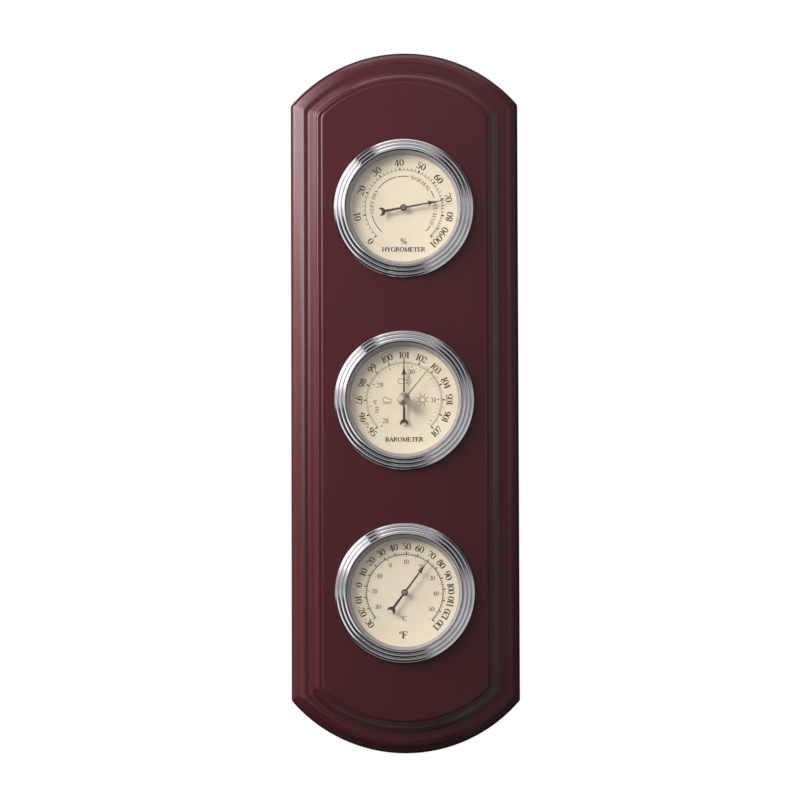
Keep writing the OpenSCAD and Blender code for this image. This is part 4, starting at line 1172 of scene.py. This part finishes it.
def make_lamps():
    """Two lamps light the object. Four softboxes only show as reflections, three of them in the lacquer."""
    key = area_lamp("key", (-0.904, -0.862, 0.633), (0.6, 0.6), 18.1, (1.0, 0.975, 0.94))
    side = area_lamp("side", (-0.36, -0.05, 0.05), (0.22, 0.22), 2.1, (1.0, 0.96, 0.94))
    sheen = area_lamp("sheen", (-0.66, -1.25, 0.765), (2.7, 1.47), 101, (1.0, 0.95, 0.95), (0, -1.25, 0.765))
    zone = area_lamp("zone", (-0.66, -1.25, 0.45), (2.7, 0.84), 7.6, (1.0, 0.97, 0.97), (0, -1.25, 0.45))
    upper_fill = area_lamp("upper_fill", (1.12, -0.55, 1.0), (2.4, 2.4), 9.0, (1.0, 0.96, 0.98))
    lower_fill = area_lamp("lower_fill", (-0.44, -0.55, -1.6), (2.4, 2.4), 5.5, (1.0, 0.96, 0.98))
    grade(sheen, SHEEN_LEVELS)
    grade(zone, ZONE_LEVELS)
    for lamp in (key, side):
        lamp.visible_glossy = False
    for softbox in (sheen, zone, upper_fill, lower_fill):
        softbox.visible_diffuse = False
    lacquered = bpy.data.collections.new("lacquered")
    lacquered.objects.link(plaque)
    for softbox in (sheen, upper_fill, lower_fill):
        softbox.light_linking.receiver_collection = lacquered


make_lamps()


# The studio that polished surfaces mirror: levels by clock angle, in degrees from the top round the line to
# the front, by tilt away from that line, from 0 in front to 1 behind, or by height, rising from 0 to 1
ROUND_LEVELS = ((-180, 0.02), (-130, 0.02), (-123, 0.8), (-88, 0.9), (-80, 0.3), (-44, 0.3), (-41, 0.02),
                (-29, 0.03), (-24, 0.3), (0, 0.22), (22, 0.22), (33, 0.03), (62, 0.03), (78, 0.33),
                (150, 0.33), (163, 0.05), (180, 0.02))
BELT_LEVELS = ((-180, 0.01), (-130, 0.02), (-94, 0.04), (-89, 0.4), (-44, 0.3), (-41, 0.01), (-27, 0.02),
               (-21, 0.8), (-8, 0.5), (5, 0.3), (22, 0.3), (33, 0.02), (62, 0.05), (78, 0.35), (108, 0.5),
               (152, 0.45), (163, 0.03), (180, 0.01))
RIM_LEVELS = ((-180, 0.2), (-140, 0.2), (-125, 0.0), (-28, 0.0), (-20, 0.9), (8, 0.8), (22, 0.3), (40, 0.0),
              (140, 0.0), (160, 0.2), (180, 0.2))
OFF_LOW_LEFT = ((-180, 1.0), (-127, 1.0), (-122, 0.0), (-91, 0.0), (-86, 1.0), (180, 1.0))
GRAZING = ((0.0, 0.0), (0.41, 0.0), (0.45, 1.0), (0.58, 1.0), (0.62, 0.0), (1.0, 0.0))
FRONT_LEVELS = ((0.0, 0.25), (0.44, 0.3), (0.49, 0.18), (0.515, 0.15), (0.576, 0.25), (0.636, 0.36),
                (0.7, 0.42), (1.0, 0.5))
SOFT_LEVELS = ((0.0, 0.02), (0.3, 0.14), (0.5, 0.5), (1.0, 0.78))
BEHIND_LEVEL = 0.15
GLOSS_STRENGTH = 1.35


def rising(lo, hi):
    return ((0, 0), (lo, 0), (hi, 1), (1, 1))


def falling(lo, hi):
    return ((0, 1), (lo, 1), (hi, 0), (1, 0))


def mirrored_studio(t, direction, height):
    """Levels by clock angle for low and for steep slopes, by height near the axis, and along the rim."""
    turn = t.math("DIVIDE", t.math("ARCTAN2", direction["X"], direction["Z"]), 2 * math.pi)
    clock = t.math("ADD", turn, 0.5)
    tilt = t.math("DIVIDE", t.math("ARCCOSINE", t.math("MULTIPLY", direction["Y"], -1)), math.pi)

    def by_clock(levels):
        return t.ramp(clock, [(0.5 + degrees / 360, level) for degrees, level in levels])

    slopes = t.mix(t.ramp(tilt, rising(0.22, 0.27)), by_clock(ROUND_LEVELS), by_clock(BELT_LEVELS))
    near_axis = t.math("MULTIPLY", t.ramp(tilt, falling(0.12, 0.17)), by_clock(OFF_LOW_LEFT))
    near_axis = t.math("MAXIMUM", near_axis, t.ramp(tilt, falling(0.035, 0.07)))
    front = t.mix(near_axis, slopes, t.ramp(height, FRONT_LEVELS))
    studio = t.mix(t.ramp(tilt, rising(0.54, 0.6)), front, grey(BEHIND_LEVEL))
    return t.mix(t.ramp(tilt, GRAZING), studio, by_clock(RIM_LEVELS), "ADD")


def make_world():
    """White behind the object, the mirrored studio in reflections, and soft light from above otherwise."""
    world = bpy.data.worlds.new("studio")
    bpy.context.scene.world = world
    world.use_nodes = True
    t = Tree(world.node_tree)
    t.tree.nodes.clear()

    def background(colour, strength):
        n = t.node("ShaderNodeBackground")
        t.feed_all(n.inputs, (colour, strength))
        return n.outputs[0]

    direction = t.split(t.node("ShaderNodeTexCoord").outputs["Generated"])
    height = t.math("ADD", direction["Z"], 0.5)
    gloss = background(mirrored_studio(t, direction, height), GLOSS_STRENGTH)
    soft = background(t.ramp(height, SOFT_LEVELS), 1.0)
    path = t.node("ShaderNodeLightPath").outputs
    lit = t.mix_shader(path["Is Glossy Ray"], soft, gloss)
    seen = t.math("MAXIMUM", path["Is Camera Ray"], path["Is Transmission Ray"])
    out = t.node("ShaderNodeOutputWorld")
    t.link(t.mix_shader(seen, lit, background(grey(1.0), 1.0)), out.inputs["Surface"])


make_world()

FLOOR_HALF, FLOOR_Z = 20, -1.65


def make_floor():
    """A pale floor under the wall-hung plaque, well below the view."""
    s = Shader("floor", Roughness=0.8)
    s.set("Base Color", s.mix(s.noise(0.8, 2), (0.8, 0.8, 0.79, 1), (0.84, 0.84, 0.83, 1)))
    corners = box_outline(-FLOOR_HALF, -FLOOR_HALF, FLOOR_HALF, FLOOR_HALF)
    mesh = bpy.data.meshes.new("floor")
    mesh.from_pydata([(x, y, FLOOR_Z) for x, y in corners], [], [(0, 1, 2, 3)])
    mesh.materials.append(s.material)
    floor = new_object("floor", mesh)
    floor.visible_diffuse = floor.visible_glossy = False


make_floor()

bpy.context.scene.view_settings.view_transform = "Standard"
